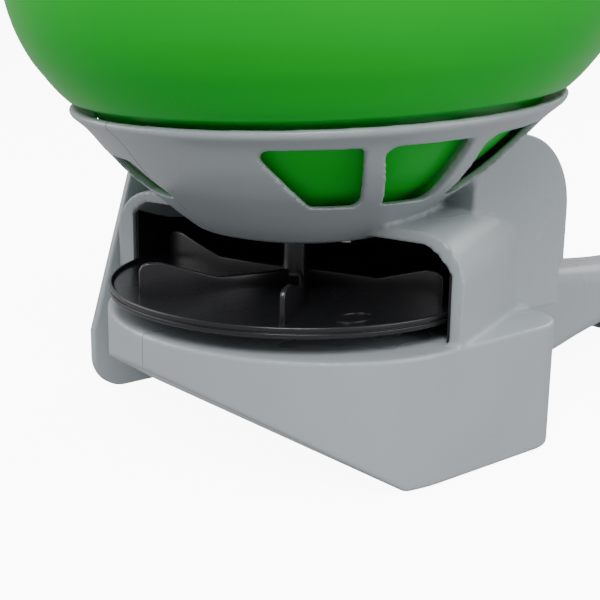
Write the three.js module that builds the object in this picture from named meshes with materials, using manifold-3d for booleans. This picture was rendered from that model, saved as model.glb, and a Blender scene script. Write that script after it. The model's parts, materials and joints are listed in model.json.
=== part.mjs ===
// A hand-held broadcast spreader: a hopper in a cradle over a spinning impeller, driven by a side crank
// through a crown gear and pinion, with a squeeze trigger that draws back a flow gate.
//
// Millimetres. +Z is up, the impeller turns about the Z axis, the flat foot lies on z = 0, the nose points
// to -Y and the handle to +Y. +X is the user's left. The moulded body is two shells that part on X = 0.

import * as THREE from 'three';
import { mergeVertices } from 'three/addons/utils/BufferGeometryUtils.js';
import Module from 'manifold-3d';

const wasm = await Module();
wasm.setup();

// ---------------------------------------------------------------- driving dimensions

// Fits, used wherever one piece meets another.
const wall = 2.5; // moulded wall of the body shells
const joint = 0.3; // gap between pieces that touch
const running = 0.2; // radial clearance of a shaft in a bush
const sweep = 1.2; // air left round the impeller's edge

// Impeller.
const impellerRadius = 64;
const impellerTop = 51; // height of the upper face of its disc
const discThickness = 2.2;
const lipHeight = 1.4;
const lipWidth = 1.6;
const finCount = 6;
const finHeight = 11; // at the outer end
const finLow = 5; // over the inner stretch
const finHigh = 7; // length of the tall outer end
const finRamp = 19; // length of the ramp up to it
const finThickness = 1.6;
const finMargin = 7.5; // from a fin's outer end to the edge of the disc
const finOuterRadius = impellerRadius - finMargin;
const finSweep = THREE.MathUtils.degToRad(14); // how far a fin curves forward towards the hub
const finStart = THREE.MathUtils.degToRad(-44.5);
const hubRadius = 5;

// Base tub.
const leftSide = 71;
const rightSide = 68.5;
const noseLength = 63;
const baseRear = 60;
const baseCorner = 14;
const rearRound = 9; // side view radius of the tub's lower rear corner
const deckTop = 43;
const deckThickness = 2.7;
const edgeRound = 5;
const undersideStart = -13.5; // where the sloping underside leaves the foot
const undersideSlope = 0.635;

// Hood over the impeller: an arch in a front plane that is turned towards the left side.
const throwAngle = THREE.MathUtils.degToRad(14.2);
const hoodFrontY = 6; // where the front plane meets the left wall
const hoodRearX = 52; // left wall of the column that the hood runs back to
const hoodRearY = 53;
const hoodTopFront = 77;
const hoodTopRear = 83;
const hoodRoof = 4;
const hoodSkin = 1.6; // side walls of the hood beside the impeller
const archRadius = 16;
const chamberArch = 21; // radius of the corners of the room inside it

// Column behind the hood, and the handle.
const columnFront = 30;
const columnRear = 79;
const columnTop = 103;
const columnArc = 27; // radius of its rear top corner
const columnFoot = 56; // height of its lower rear edge
const gussetHalf = 14; // half width of the sloping web that carries the handle
const gussetTop = 106;
const gussetEnd = 124;
const gussetLow = 42; // height at its rear end

// Cradle: a bowl whose rim is moved back and rises to the rear.
const cradleFloor = 69.5;
const rimTop = 115;
const rimRadius = 82;
const rimShift = 8;
const rimSlope = 0.065;
const windowBottom = 86.5;
const windowTop = 108;
const sideWindowTop = 99.5; // of the window next to the front on the right

// Hopper.
const hopperWall = 2;
const hopperTop = 207;
const hopperFloor = 78.5;
const hopperMouth = 106; // outer radius under the rolled rim
const hopperLip = 3.5;
const hopperGap = 3.4; // between the cradle and the hopper at the rim
const bowlIn = 2; // from the cradle's outer face in to the bowl of the hopper
const bowlUp = 4.6; // and up to it
const shadowGap = 2.2; // between the cradle rim and the shoulder of the hopper

// Drive.
const shaftRadius = 2.5;
const shaftBottom = 1.6;
const shaftTop = 90;
const gearModule = 1.4;
const crownTeeth = 24;
const pinionTeeth = 8;
const crownFace = 4; // radial length of the crown teeth
const crownDisc = 3;
const crankAxisZ = 21.5;
const crankShaftRadius = 4;
const crankLength = 58;
const crankThickness = 8;
const knobLength = 34;
const knobRadius = 11;
const spindleRadius = 3;
const coverThickness = 3.7;
const bushWall = 2.4;

// Flow control.
const gateThickness = 2.2;
const gateZ = 75; // underside of the gate
const gateHalf = 10;
const gateFront = 12.5;
const gateNeck = 24; // where the plate narrows to its tail
const gateTailHalf = 4.5;
const outletStart = 14;
const outletLength = 7;
const outletHalf = 8;
const leverPivotY = 80;
const leverPivotZ = 46;
const gateTail = 4; // beyond the lever's slot
const gateTravel = 9;
const gateRear = leverPivotY + gateTail;
const leverUp = gateZ + gateThickness / 2 - leverPivotZ;
const leverDown = 16;
const leverThickness = 3;
const leverHalf = 3.2; // half width of the lever's arms
const pinRadius = 2;
const triggerPivotY = 166;
const triggerPivotZ = 18;
const triggerArm = leverPivotZ - leverDown - triggerPivotZ;
const triggerHalf = 4.8;
const springRoom = 7; // beside the trigger, for its spring
const rodRadius = 1.6;
const rodNose = 0.8; // radius of the rod's tapered front end
const rodTaper = 4;
const rodGap = 0.5; // between the rod and the lever at rest
const dialRadius = 13;
const dialHeight = 8;
const dialStem = 3;

// Screws.
const screwShank = 1.5;
const screwHead = 3;
const screwHeadHeight = 1.8;
const postRadius = 4.2;

const round = 48; // facets round a large turned piece
const small = 14; // facets round a small one

// ---------------------------------------------------------------- solids

function toSolid(geometry) {
  const bare = geometry.index ? geometry.toNonIndexed() : geometry.clone();
  bare.deleteAttribute('normal');
  bare.deleteAttribute('uv');
  const merged = mergeVertices(bare, 1e-4);
  const mesh = new wasm.Mesh({
    numProp: 3,
    vertProperties: new Float32Array(merged.attributes.position.array),
    triVerts: new Uint32Array(merged.index.array),
  });
  mesh.merge();
  return new wasm.Manifold(mesh);
}

function toGeometry(solid) {
  const mesh = solid.getMesh();
  const geometry = new THREE.BufferGeometry();
  geometry.setAttribute('position', new THREE.BufferAttribute(new Float32Array(mesh.vertProperties), 3));
  geometry.setIndex(new THREE.BufferAttribute(new Uint32Array(mesh.triVerts), 1));
  geometry.computeVertexNormals();
  return geometry;
}

const join = (...solids) => solids.reduce((sum, solid) => sum.add(solid));
const cut = (body, ...tools) => tools.reduce((rest, tool) => rest.subtract(tool), body);

// Axis changes: local Z of a shape becomes the named axis.
const alongX = new THREE.Matrix4().makeBasis(
  new THREE.Vector3(0, 1, 0), new THREE.Vector3(0, 0, 1), new THREE.Vector3(1, 0, 0));

function extrude(shape, depth, curveSegments = 8) {
  return new THREE.ExtrudeGeometry(shape, { depth, bevelEnabled: false, curveSegments });
}

// A plan outline raised from z0 to z1; `edge` rounds its upper and lower edges inwards.
function slab(shape, z0, z1, edge = 0, curveSegments = 8) {
  const geometry = new THREE.ExtrudeGeometry(shape, {
    depth: z1 - z0 - 2 * edge, curveSegments, bevelEnabled: edge > 0,
    bevelThickness: edge, bevelSize: edge, bevelOffset: -edge, bevelSegments: 3,
  });
  return toSolid(geometry.translate(0, 0, z0 + edge));
}

// A side outline, drawn with its x along Y and its y along Z, carried from x0 to x1.
function side(shape, x0, x1, curveSegments = 8) {
  return toSolid(extrude(shape, x1 - x0, curveSegments).applyMatrix4(alongX).translate(x0, 0, 0));
}

function box(x0, x1, y0, y1, z0, z1) {
  const geometry = new THREE.BoxGeometry(x1 - x0, y1 - y0, z1 - z0);
  return toSolid(geometry.translate((x0 + x1) / 2, (y0 + y1) / 2, (z0 + z1) / 2));
}

function turnedGeometry(profile, facets) {
  const points = profile.map(([r, h]) => new THREE.Vector2(r, h));
  return new THREE.LatheGeometry(points, facets).rotateX(Math.PI / 2);
}

// A profile of [radius, height] pairs turned about the Z axis.
const turned = (profile, facets = round) => toSolid(turnedGeometry(profile, facets));

// An upright cylinder, and one lying along X.
const post = (x, y, radius, z0, z1, facets = small) => toSolid(new THREE.CylinderGeometry(
  radius, radius, z1 - z0, facets).rotateX(Math.PI / 2).translate(x, y, (z0 + z1) / 2));
const bar = (y, z, radius, x0, x1, facets = small) => toSolid(new THREE.CylinderGeometry(
  radius, radius, x1 - x0, facets).rotateZ(Math.PI / 2).translate((x0 + x1) / 2, y, z));

// A closed skin through rings of equally many points, each ring a convex loop.
function loft(rings) {
  const count = rings[0].length;
  const points = rings.flat();
  const faces = [];
  for (let r = 0; r + 1 < rings.length; r++) {
    for (let i = 0; i < count; i++) {
      const a = r * count + i;
      const b = r * count + (i + 1) % count;
      faces.push([a, b, b + count], [a, b + count, a + count]);
    }
  }
  const last = (rings.length - 1) * count;
  for (let i = 1; i + 1 < count; i++) {
    faces.push([0, i + 1, i], [last, last + i, last + i + 1]);
  }
  const volume = faces.reduce((sum, [a, b, c]) =>
    sum + points[a].dot(new THREE.Vector3().crossVectors(points[b], points[c])), 0);
  const wound = volume > 0 ? faces : faces.map(([a, b, c]) => [a, c, b]);
  const geometry = new THREE.BufferGeometry().setFromPoints(points);
  geometry.setIndex(wound.flat());
  return toSolid(geometry);
}

function polygon(points) {
  return new THREE.Shape(points.map(([a, b]) => new THREE.Vector2(a, b)));
}

// A bar with round ends, from (a0, b0) to (a1, b1).
function link(a0, b0, r0, a1, b1, r1) {
  const angle = Math.atan2(b1 - b0, a1 - a0);
  const shape = new THREE.Shape();
  shape.absarc(a0, b0, r0, angle + Math.PI / 2, angle + 1.5 * Math.PI, false);
  shape.absarc(a1, b1, r1, angle - Math.PI / 2, angle + Math.PI / 2, false);
  shape.closePath();
  return shape;
}

// The bowl's lean: its sections move back and tip up towards the rear as they rise to the rim.
function leanPoint(point) {
  const share = THREE.MathUtils.clamp((point.z - cradleFloor) / (rimTop - cradleFloor), 0, 1);
  point.z += rimSlope * share * point.y;
  point.y += rimShift * share;
  return point;
}

function leaned(profile, facets = round) {
  const geometry = turnedGeometry(profile, facets);
  const position = geometry.attributes.position;
  for (let i = 0; i < position.count; i++) {
    const point = leanPoint(new THREE.Vector3().fromBufferAttribute(position, i));
    position.setXYZ(i, point.x, point.y, point.z);
  }
  return toSolid(geometry);
}

// ---------------------------------------------------------------- finishes

const plastic = (color, roughness) => new THREE.MeshStandardMaterial({ color, roughness, metalness: 0 });
const steel = () => new THREE.MeshStandardMaterial({ color: 0xb4b6b8, roughness: 0.35, metalness: 1 });
const grey = () => plastic(0xacb2b5, 0.38);
const green = () => plastic(0x0b9b24, 0.22);
const black = () => plastic(0x1b1b1f, 0.35);
const nylon = () => plastic(0xe6e2d6, 0.5);

const spreader = new THREE.Group();

function add(name, solid, material) {
  const mesh = new THREE.Mesh(toGeometry(solid), material);
  mesh.name = name;
  spreader.add(mesh);
}

// ---------------------------------------------------------------- body outlines

function tubOutline(inset) {
  const shape = new THREE.Shape();
  const turn = baseCorner - inset;
  shape.moveTo(leftSide - inset, 0);
  shape.lineTo(leftSide - inset, baseRear - baseCorner);
  shape.absarc(leftSide - baseCorner, baseRear - baseCorner, turn, 0, Math.PI / 2, false);
  shape.lineTo(baseCorner - rightSide, baseRear - inset);
  shape.absarc(baseCorner - rightSide, baseRear - baseCorner, turn, Math.PI / 2, Math.PI, false);
  shape.lineTo(inset - rightSide, 0);
  shape.absellipse(0, 0, rightSide - inset, noseLength - inset, Math.PI, 1.5 * Math.PI, false);
  shape.absellipse(0, 0, leftSide - inset, noseLength - inset, 1.5 * Math.PI, 2 * Math.PI, false);
  return shape;
}

// Everything below the sloping underside and the rounded rear corner, with both drawn in by `lift`.
function underside(lift) {
  const reach = 2 * noseLength;
  const start = undersideStart + lift / Math.sin(Math.atan(undersideSlope));
  const slope = side(polygon([
    [start + reach, -reach * undersideSlope], [start - reach, reach * undersideSlope],
    [start - reach, -reach],
  ]), -2 * leftSide, 2 * leftSide);
  const middle = baseRear - rearRound;
  return join(slope, cut(
    box(-2 * leftSide, 2 * leftSide, middle, baseRear + 1, -1, rearRound),
    bar(middle, rearRound, rearRound - lift, -3 * leftSide, 3 * leftSide, 32)));
}

// An arch section of the hood between a left and a right foot.
function archRing(left, right, bottom, top, radius) {
  const across = right.clone().sub(left).normalize();
  const steps = 5;
  const ring = [left.clone().setZ(bottom)];
  for (let i = 0; i <= steps; i++) {
    const t = (i / steps) * Math.PI / 2;
    const point = left.clone().addScaledVector(across, radius * (1 - Math.cos(t)));
    ring.push(point.setZ(top - radius + radius * Math.sin(t)));
  }
  for (let i = steps; i >= 0; i--) {
    const t = (i / steps) * Math.PI / 2;
    const point = right.clone().addScaledVector(across, -radius * (1 - Math.cos(t)));
    ring.push(point.setZ(top - radius + radius * Math.sin(t)));
  }
  ring.push(right.clone().setZ(bottom));
  return ring;
}

// The hood from `ahead` of its front plane to the rear of the column, drawn in by `inset`.
function hood(inset, roof, ahead, radius = archRadius - inset) {
  const slant = Math.tan(throwAngle);
  const taper = (leftSide - hoodRearX) / (hoodRearY - hoodFrontY);
  const stations = [
    [hoodFrontY - ahead, leftSide + ahead * taper, hoodTopFront],
    [hoodRearY, hoodRearX, hoodTopRear],
    [columnRear - wall, hoodRearX, hoodTopRear],
  ];
  return loft(stations.map(([y, x, top]) => {
    const left = new THREE.Vector3(x - inset, y, 0);
    const right = new THREE.Vector3(inset - rightSide, y - (x + rightSide) * slant, 0);
    return archRing(left, right, deckTop - deckThickness / 2 + (inset ? deckThickness / 2 : 0),
      top - roof, radius);
  }));
}

// Side outline of the column, drawn in by `inset`.
function columnOutline(inset, front) {
  const shape = new THREE.Shape();
  const rear = columnRear - inset;
  const turn = columnArc - inset;
  shape.moveTo(front, deckTop - deckThickness / 2);
  shape.lineTo(hoodRearY + inset, deckTop - deckThickness / 2);
  shape.lineTo(hoodRearY + 6 + inset / 2, columnFoot - 5 + inset);
  shape.lineTo(rear, columnFoot + inset / 2);
  shape.lineTo(rear, columnTop - columnArc);
  shape.absarc(columnRear - columnArc, columnTop - columnArc, turn, 0, Math.PI / 2, false);
  shape.lineTo(front, columnTop - inset);
  shape.closePath();
  return shape;
}

// The web that runs from the back of the column down to the handle.
function gusset(inset) {
  const front = columnRear - 3;
  const slope = (gussetTop - gussetLow) / (gussetEnd - front);
  const drop = inset * Math.hypot(1, slope);
  return side(polygon([
    [62, 12 + inset], [112, 12 + inset], [gussetEnd - inset, 30],
    [gussetEnd - inset, gussetLow - drop + inset * slope], [front, gussetTop - drop], [62, gussetTop - drop],
  ]), inset - gussetHalf, gussetHalf - inset);
}

// Handle stations: distance back, half width, underside, top.
const handleStations = [
  [50, 46, 2, 46], [66, 41, 2.4, 46], [80, 31, 2.6, 45], [95, 22, 2.8, 43.5], [112, 17, 3.4, 41.5],
  [130, 15, 5.4, 39.5], [150, 14, 8.6, 37.5], [175, 14, 11.6, 35.5], [200, 14.5, 9.5, 35], [230, 15, 7, 36],
  [255, 15, 6, 38], [272, 14, 7, 39.5], [282, 9.5, 12.5, 35],
];

// A rounded box section of the handle.
function handleRing(y, halfWidth, low, high) {
  const centre = (low + high) / 2;
  const halfHeight = (high - low) / 2;
  const radius = Math.min(7, halfHeight * 0.6, halfWidth * 0.6);
  const ring = [];
  for (const [sx, sz, from] of [[1, 1, 0], [-1, 1, 1], [-1, -1, 2], [1, -1, 3]]) {
    for (let i = 0; i <= 3; i++) {
      const t = (from + i / 3) * Math.PI / 2;
      ring.push(new THREE.Vector3(sx * (halfWidth - radius) + radius * Math.cos(t), y,
        centre + sz * (halfHeight - radius) + radius * Math.sin(t)));
    }
  }
  return ring;
}

function handle(inset) {
  return loft(handleStations.map(([y, halfWidth, low, high], i) => {
    const end = i === handleStations.length - 1 ? inset : 0;
    return handleRing(y - end, halfWidth - inset, low + inset, high - inset);
  }));
}

// ---------------------------------------------------------------- cradle

const cradleOuter = [
  [0, cradleFloor], [26, cradleFloor], [35, 71.8], [42, 76.8], [52, 84.7], [60, 91], [68, 98.9],
  [76, 107.8], [rimRadius - 0.6, rimTop - 2.5], [rimRadius, rimTop - 1.4], [rimRadius - 0.4, rimTop], [0, rimTop],
];
const cradleInner = [
  [0, cradleFloor + wall], [25, cradleFloor + wall], [33.6, 74.1], [40.4, 78.8], [50.4, 86.6], [58.3, 92.8],
  [66.2, 100.6], [74.1, 109.4], [rimRadius - wall, rimTop - 0.6], [rimRadius - wall, hopperTop],
  [0, hopperTop],
];

// Window corners as [angle at the top, angle at the bottom] for the two upright edges, in degrees from +X.
const windows = [
  [[-54.5, -39], [-30, -22.5]],
  [[-25.5, -15], [-3, 4.5]],
  [[2, 12.5], [31, 22]],
  [[-118, -110], [-94, -88], sideWindowTop],
  [[-150, -142], [-127, -119]],
  [[-178, -170], [-155, -150]],
];

const windowReach = [44, 54, 64, 74, 92]; // radii of the rings that a window is cut through
const windowSteps = 4; // pieces along each edge of a window
const windowRadius = (z) => THREE.MathUtils.mapLinear(z, windowBottom, windowTop, 54, 76); // of the bowl's skin

function windowCutter([[startTop, startLow], [endTop, endLow], top = windowTop]) {
  const middle = (startTop + startLow + endLow + endTop) / 4;
  const corners = [[startTop, top], [startLow, windowBottom], [endLow, windowBottom], [endTop, top]]
    .map(([angle, z]) => [angle - middle, z]);
  return loft(windowReach.map((radius) => corners.flatMap(([angle, z], i) => {
    const [nextAngle, nextZ] = corners[(i + 1) % corners.length];
    return Array.from({ length: windowSteps }, (_, step) => {
      const share = step / windowSteps;
      const height = z + (nextZ - z) * share;
      const across = THREE.MathUtils.lerp(angle * windowRadius(z), nextAngle * windowRadius(nextZ), share);
      const turn = THREE.MathUtils.degToRad(middle + across / windowRadius(height));
      return leanPoint(new THREE.Vector3(radius * Math.cos(turn), radius * Math.sin(turn), height));
    });
  })));
}

// ---------------------------------------------------------------- shells

const linerThickness = 1.2;
const chamberRadius = impellerRadius + sweep + linerThickness + joint;
const chamberTop = hoodTopFront - hoodRoof;
const shaftHole = shaftRadius + running + 0.3;
const crownRadius = gearModule * crownTeeth / 2;
const pinionRadius = gearModule * pinionTeeth / 2;
const bushRadius = crankShaftRadius + running + bushWall;
const shaftBushRadius = shaftRadius + running + 1.4;
const pedestalX = -17;
const pedestalThickness = 5;
const lowerBushTop = 10;
const lowerFlangeRadius = 7; // its closed end lies flush with the foot
const lowerFlange = 1.3;

// Where the body screws pass, as [y, z].
const screwPosts = [[-46, 32.5], [49, 12], [73.5, 86], [136, 24], [232, 21], [262, 22]];
const coverScrews = [[-27, 17], [36, 10], [56, 84]];
const screwSeat = -8; // x of the step that a body screw's head pulls on

// The room under the hood, drawn in by `inset`, before the round of the chamber is taken from it.
const room = (inset) => join(hood(hoodSkin + inset, hoodRoof + inset, 20, chamberArch - inset),
  box(wall - rightSide + inset, hoodRearX - wall - inset, 40, 70, deckTop, chamberTop - inset));
const chamber = post(0, 0, chamberRadius, deckTop, chamberTop, round).intersect(room(0));
const chamberShell = post(0, 0, chamberRadius + wall, deckTop - deckThickness, chamberTop + wall, round);

const bodyCavity = join(
  cut(slab(tubOutline(wall), wall, deckTop - deckThickness), underside(wall)),
  cut(join(
    cut(side(columnOutline(wall, columnFront + wall), wall - rightSide, hoodRearX - wall), hood(0, -1, 0)
      .intersect(box(-200, 200, -100, hoodRearY + 4, 0, 200))),
    handle(wall), gusset(wall)), chamberShell),
);
const screwPillars = join(...screwPosts.map(([y, z]) =>
  bar(y, z, postRadius, wall / 2 - rightSide, leftSide - wall / 2)));
const outside = join(
  cut(slab(tubOutline(0), 0, deckTop, edgeRound), underside(0)),
  hood(0, 0, 0),
  side(columnOutline(0, columnFront), -rightSide, hoodRearX),
  handle(0), gusset(0),
);
const pedestals = join(
  box(pedestalX - pedestalThickness, pedestalX, -11, 11, wall / 2, 31),
  post(0, 0, shaftBushRadius + joint + wall, wall / 2, lowerBushTop),
);
const coverBosses = join(...coverScrews.map(([y, z]) => bar(y, z, 3.6, -rightSide + 0.5, -rightSide + 9)));
const leverBoss = bar(leverPivotY, leverPivotZ, 4, -gussetHalf - 6, gussetHalf + 6);
const triggerBoss = bar(triggerPivotY, triggerPivotZ, 4.6, -13, 13);
const internals = join(screwPillars, pedestals, coverBosses, leverBoss, triggerBoss)
  .intersect(cut(outside, chamber));
const clearances = join(
  box(-7, 7, 60, gateRear + gateTravel + 1, gateZ - 5, gateZ + gateThickness + 3),
  side(link(leverPivotY + 4, leverPivotZ + leverUp, 7, leverPivotY - 2, leverPivotZ - leverDown, 7),
    -leverThickness / 2 - 1, leverThickness / 2 + 1),
  box(-triggerHalf - springRoom, triggerHalf + 1, triggerPivotY - 9, triggerPivotY + 9,
    triggerPivotZ - 6, triggerPivotZ + 15),
);
const shellBlank = join(
  cut(join(cut(outside, chamber, bodyCavity), internals), clearances), leaned(cradleOuter));

const shaftwayTools = [
  post(0, 0, shaftHole, wall, cradleFloor + 1),
  post(0, 0, shaftBushRadius + joint, -1, lowerBushTop + 1),
  post(0, 0, lowerFlangeRadius + joint, -1, lowerFlange + joint, 20),
  post(0, 0, shaftBushRadius + joint, cradleFloor - 1, cradleFloor + wall + 1),
  bar(0, crankAxisZ, bushRadius + joint, -rightSide - 1, pedestalX + 1),
  bar(0, crankAxisZ, crownRadius + 2, pedestalX + 0.01, -pinionRadius + 2),
  post(0, 0, pinionRadius + 2.2, crankAxisZ + 4, deckTop - deckThickness),
];
const flowTools = [
  box(-outletHalf, outletHalf, outletStart, outletStart + outletLength,
    cradleFloor - 1, cradleFloor + wall + 1),
  box(-gateHalf - 0.8, gateHalf + 0.8, gateNeck - 4, 60, gateZ - 0.6, gateZ + gateThickness + 0.6),
  box(-gateTailHalf - 0.8, gateTailHalf + 0.8, 60, 72, gateZ - 0.6, gateZ + gateThickness + 0.6),
  box(-triggerHalf - 1.2, triggerHalf + 1.2, 158, 224, 0, triggerPivotZ),
];
const screwTools = screwPosts.flatMap(([y, z]) => [
  bar(y, z, screwHead + joint, -rightSide - 10, screwSeat, 12),
  bar(y, z, screwShank + joint, screwSeat - 1, 11, 12),
]);
const pinTools = [
  bar(leverPivotY, leverPivotZ, pinRadius + joint, -gussetHalf - 4, gussetHalf + 4, 12),
  bar(triggerPivotY, triggerPivotZ, pinRadius + joint, -11.4, 11.4, 12),
];
const coverTools = coverScrews.map(([y, z]) =>
  bar(y, z, screwShank + joint, -rightSide - 10, -rightSide + 7.5, 12));
const hopperPosts = [[18, 6], [-18, 6]];
const hopperPostTools = hopperPosts.map(([x, y]) =>
  post(x, y, screwShank + joint, cradleFloor - 1, cradleFloor + wall + 1, 12));

// The dial sits on the gusset's slope; its own frame has Z along the slope's normal.
const dialY = 111;
const gussetRun = gussetEnd - columnRear + 3;
const dialZ = gussetTop - (dialY - columnRear + 3) * (gussetTop - gussetLow) / gussetRun;
const dialTilt = -Math.atan2(gussetTop - gussetLow, gussetRun);
const dialPlace = new THREE.Matrix4().makeTranslation(0, dialY, dialZ)
  .multiply(new THREE.Matrix4().makeRotationX(dialTilt));
const onDial = (solid) => toSolid(toGeometry(solid).applyMatrix4(dialPlace));

const shell = cut(shellBlank, leaned(cradleInner), ...windows.map(windowCutter), ...shaftwayTools,
  ...flowTools, ...screwTools, ...pinTools, ...coverTools, ...hopperPostTools,
  onDial(post(0, 0, dialStem + joint, -8, 8)));

const far = 400;
add('housing_left', shell.intersect(box(joint / 2, far, -far, far, -far, far)), grey());
add('housing_right', shell.intersect(box(-far, -joint / 2, -far, far, -far, far)), grey());

// ---------------------------------------------------------------- gear cover

const coverInner = -rightSide - joint;
const coverOuter = coverInner - coverThickness;
const coverBossProud = 2;
const coverBossFace = coverOuter - coverBossProud;
const coverFront = -40;
const coverLow = 0.6;
const coverCorner = 13;

function coverOutline() {
  const shape = new THREE.Shape();
  shape.moveTo(coverFront + coverCorner, coverLow);
  shape.lineTo(baseRear - baseCorner, coverLow);
  shape.absarc(baseRear - baseCorner, coverLow + baseCorner, baseCorner, -Math.PI / 2, 0, false);
  shape.lineTo(baseRear, deckTop);
  shape.lineTo(columnRear, columnFoot);
  shape.absarc(columnRear - columnArc, columnTop - columnArc, columnArc, 0, Math.PI / 2, false);
  shape.lineTo(44, columnTop);
  shape.lineTo(25, 88);
  shape.lineTo(-20.5, 88);
  shape.lineTo(coverFront, 24);
  shape.absarc(coverFront + coverCorner, coverLow + coverCorner, coverCorner, Math.PI, 1.5 * Math.PI, false);
  return shape;
}

add('gear_cover', cut(
  join(side(coverOutline(), coverOuter, coverInner), bar(0, crankAxisZ, 14, coverBossFace, coverInner, 24)),
  bar(0, crankAxisZ, bushRadius + joint, coverBossFace - 1, coverInner + 1),
  ...coverScrews.map(([y, z]) => bar(y, z, screwShank + joint, coverOuter - 1, coverInner + 1, 12))), grey());

// ---------------------------------------------------------------- chamber liner

const linerTop = 62;
const linerBack = 1.5; // how far the liner stops behind the hood's front plane
const behindFront = (distance) => {
  const rear = box(-far, far, 0, far, 0, far);
  const turn = new THREE.Matrix4().makeRotationZ(throwAngle);
  const place = new THREE.Matrix4().makeTranslation(leftSide, hoodFrontY + distance / Math.cos(throwAngle), 0);
  return toSolid(toGeometry(rear).applyMatrix4(place.multiply(turn)));
};
add('chamber_liner', cut(
  post(0, 0, chamberRadius - joint, deckTop + joint, linerTop, round),
  post(0, 0, chamberRadius - joint - linerThickness, deckTop, linerTop + 1, round))
  .intersect(behindFront(linerBack)).intersect(room(joint)), black());

// ---------------------------------------------------------------- hopper

const hopperBowl = cradleOuter.slice(3, 7).map(([r, z]) => [r - bowlIn, z + bowlUp]);
const shoulder = rimTop + shadowGap;
const hopperSkin = [
  ...hopperBowl, [rimRadius - wall - hopperGap, rimTop], [rimRadius - 0.6, shoulder],
  [rimRadius + 0.8, shoulder + 0.6], [86, 121], [90, 126], [94.5, 132.5], [99, 142.5], [102, 156],
];
const hopperProfile = [
  [0, hopperFloor], [hopperBowl[0][0] - 6, hopperFloor], ...hopperSkin, [hopperMouth - 0.6, hopperTop - 5],
  [hopperMouth + hopperLip, hopperTop - 4], [hopperMouth + hopperLip, hopperTop],
  [hopperMouth - hopperWall, hopperTop],
  ...hopperSkin.filter((_, i) => i !== 5 && i !== 7).reverse()
    .map(([r, z]) => [r - hopperWall, z + hopperWall * 0.7]),
  [hopperBowl[0][0] - 6.5, hopperFloor + hopperWall], [0, hopperFloor + hopperWall],
];
const hopperFeet = hopperPosts.map(([x, y]) => post(x, y, 3.6, cradleFloor + wall + joint, hopperFloor + 1, 12));
add('hopper', cut(join(leaned(hopperProfile), ...hopperFeet),
  post(0, 0, shaftRadius + 0.8, hopperFloor - 1, hopperFloor + hopperWall + 3),
  box(-outletHalf, outletHalf, outletStart, outletStart + outletLength,
    hopperFloor - 2, hopperFloor + hopperWall + 4),
  ...hopperPosts.map(([x, y]) => post(x, y, screwShank + joint, cradleFloor, hopperFloor - 0.5, 12))), green());

// ---------------------------------------------------------------- impeller and drive

const discUnder = impellerTop - discThickness;
const hubTop = cradleFloor - 0.8;
const bore = shaftRadius + joint;

function fin(start) {
  const stations = [
    [hubRadius - 1.5, finLow], [hubRadius + 13, finLow], [finOuterRadius - finHigh - finRamp, finLow],
    [finOuterRadius - finHigh - finRamp / 2, (finLow + finHeight) / 2 - 0.5], [finOuterRadius - finHigh, finHeight],
    [finOuterRadius - 2.5, finHeight], [finOuterRadius, finHeight - 2],
  ];
  return loft(stations.map(([radius, height]) => {
    const angle = start + finSweep * (1 - radius / finOuterRadius);
    const centre = new THREE.Vector3(radius * Math.cos(angle), radius * Math.sin(angle), 0);
    const across = new THREE.Vector3(-Math.sin(angle), Math.cos(angle), 0).multiplyScalar(finThickness / 2);
    const low = impellerTop - discThickness / 2;
    const high = impellerTop + height;
    return [
      centre.clone().add(across).setZ(low), centre.clone().add(across).setZ(high),
      centre.clone().sub(across).setZ(high), centre.clone().sub(across).setZ(low),
    ];
  }));
}

const fins = Array.from({ length: finCount }, (_, i) => fin(finStart + i * 2 * Math.PI / finCount));
add('impeller', cut(join(turned([
  [0, discUnder - 2.5], [hubRadius + 3, discUnder - 2.5], [hubRadius + 4, discUnder],
  [impellerRadius - 0.6, discUnder],
  [impellerRadius, discUnder + 0.6], [impellerRadius, impellerTop + lipHeight],
  [impellerRadius - lipWidth * 0.6, impellerTop + lipHeight], [impellerRadius - lipWidth, impellerTop],
  [hubRadius + 2, impellerTop], [hubRadius, impellerTop + 2], [hubRadius, hubTop], [0, hubTop],
]), ...fins), post(0, 0, bore, 0, 200)), black());

add('drive_shaft', post(0, 0, shaftRadius, shaftBottom, shaftTop, 16), steel());

const ring = (outer, z0, z1, material, name, hole = shaftRadius + running) =>
  add(name, cut(post(0, 0, outer, z0, z1), post(0, 0, hole, z0 - 1, z1 + 1)), material);
add('lower_bush', cut(
  join(post(0, 0, shaftBushRadius, 0, lowerBushTop), post(0, 0, lowerFlangeRadius, 0, lowerFlange, 20)),
  post(0, 0, shaftRadius + running, shaftBottom - running, lowerBushTop + 1)), nylon());
ring(shaftBushRadius, cradleFloor + joint, cradleFloor + wall + 1, nylon(), 'upper_bush');
ring(shaftRadius + 2.2, lowerBushTop + 0.6, lowerBushTop + 1.6, steel(), 'shaft_clip', bore);

// Teeth are straight-sided; a tooth of the pinion points at the crown where the crown has a gap.
const toothPitch = Math.PI * gearModule;
const backlash = 0.8;
const toothHalf = (toothPitch / 2 - backlash) / 2;
const addendum = 1.2;
const dedendum = 1.6;
const meshX = -pinionRadius;
const crownBack = meshX - dedendum - crownDisc;
const meshTop = crankAxisZ + crownRadius + 1.2;

function crownTooth(angle) {
  const root = meshX - dedendum - 0.4;
  const tip = meshX + addendum;
  const section = polygon([
    [-toothHalf - 0.3, root], [toothHalf + 0.3, root], [toothHalf - 0.35, tip], [0.35 - toothHalf, tip],
  ]);
  const geometry = extrude(section, crownFace).rotateZ(-Math.PI / 2).translate(0, 0, crownRadius + 1.2 - crownFace);
  return toSolid(geometry.rotateX(angle).translate(0, 0, crankAxisZ));
}

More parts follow.
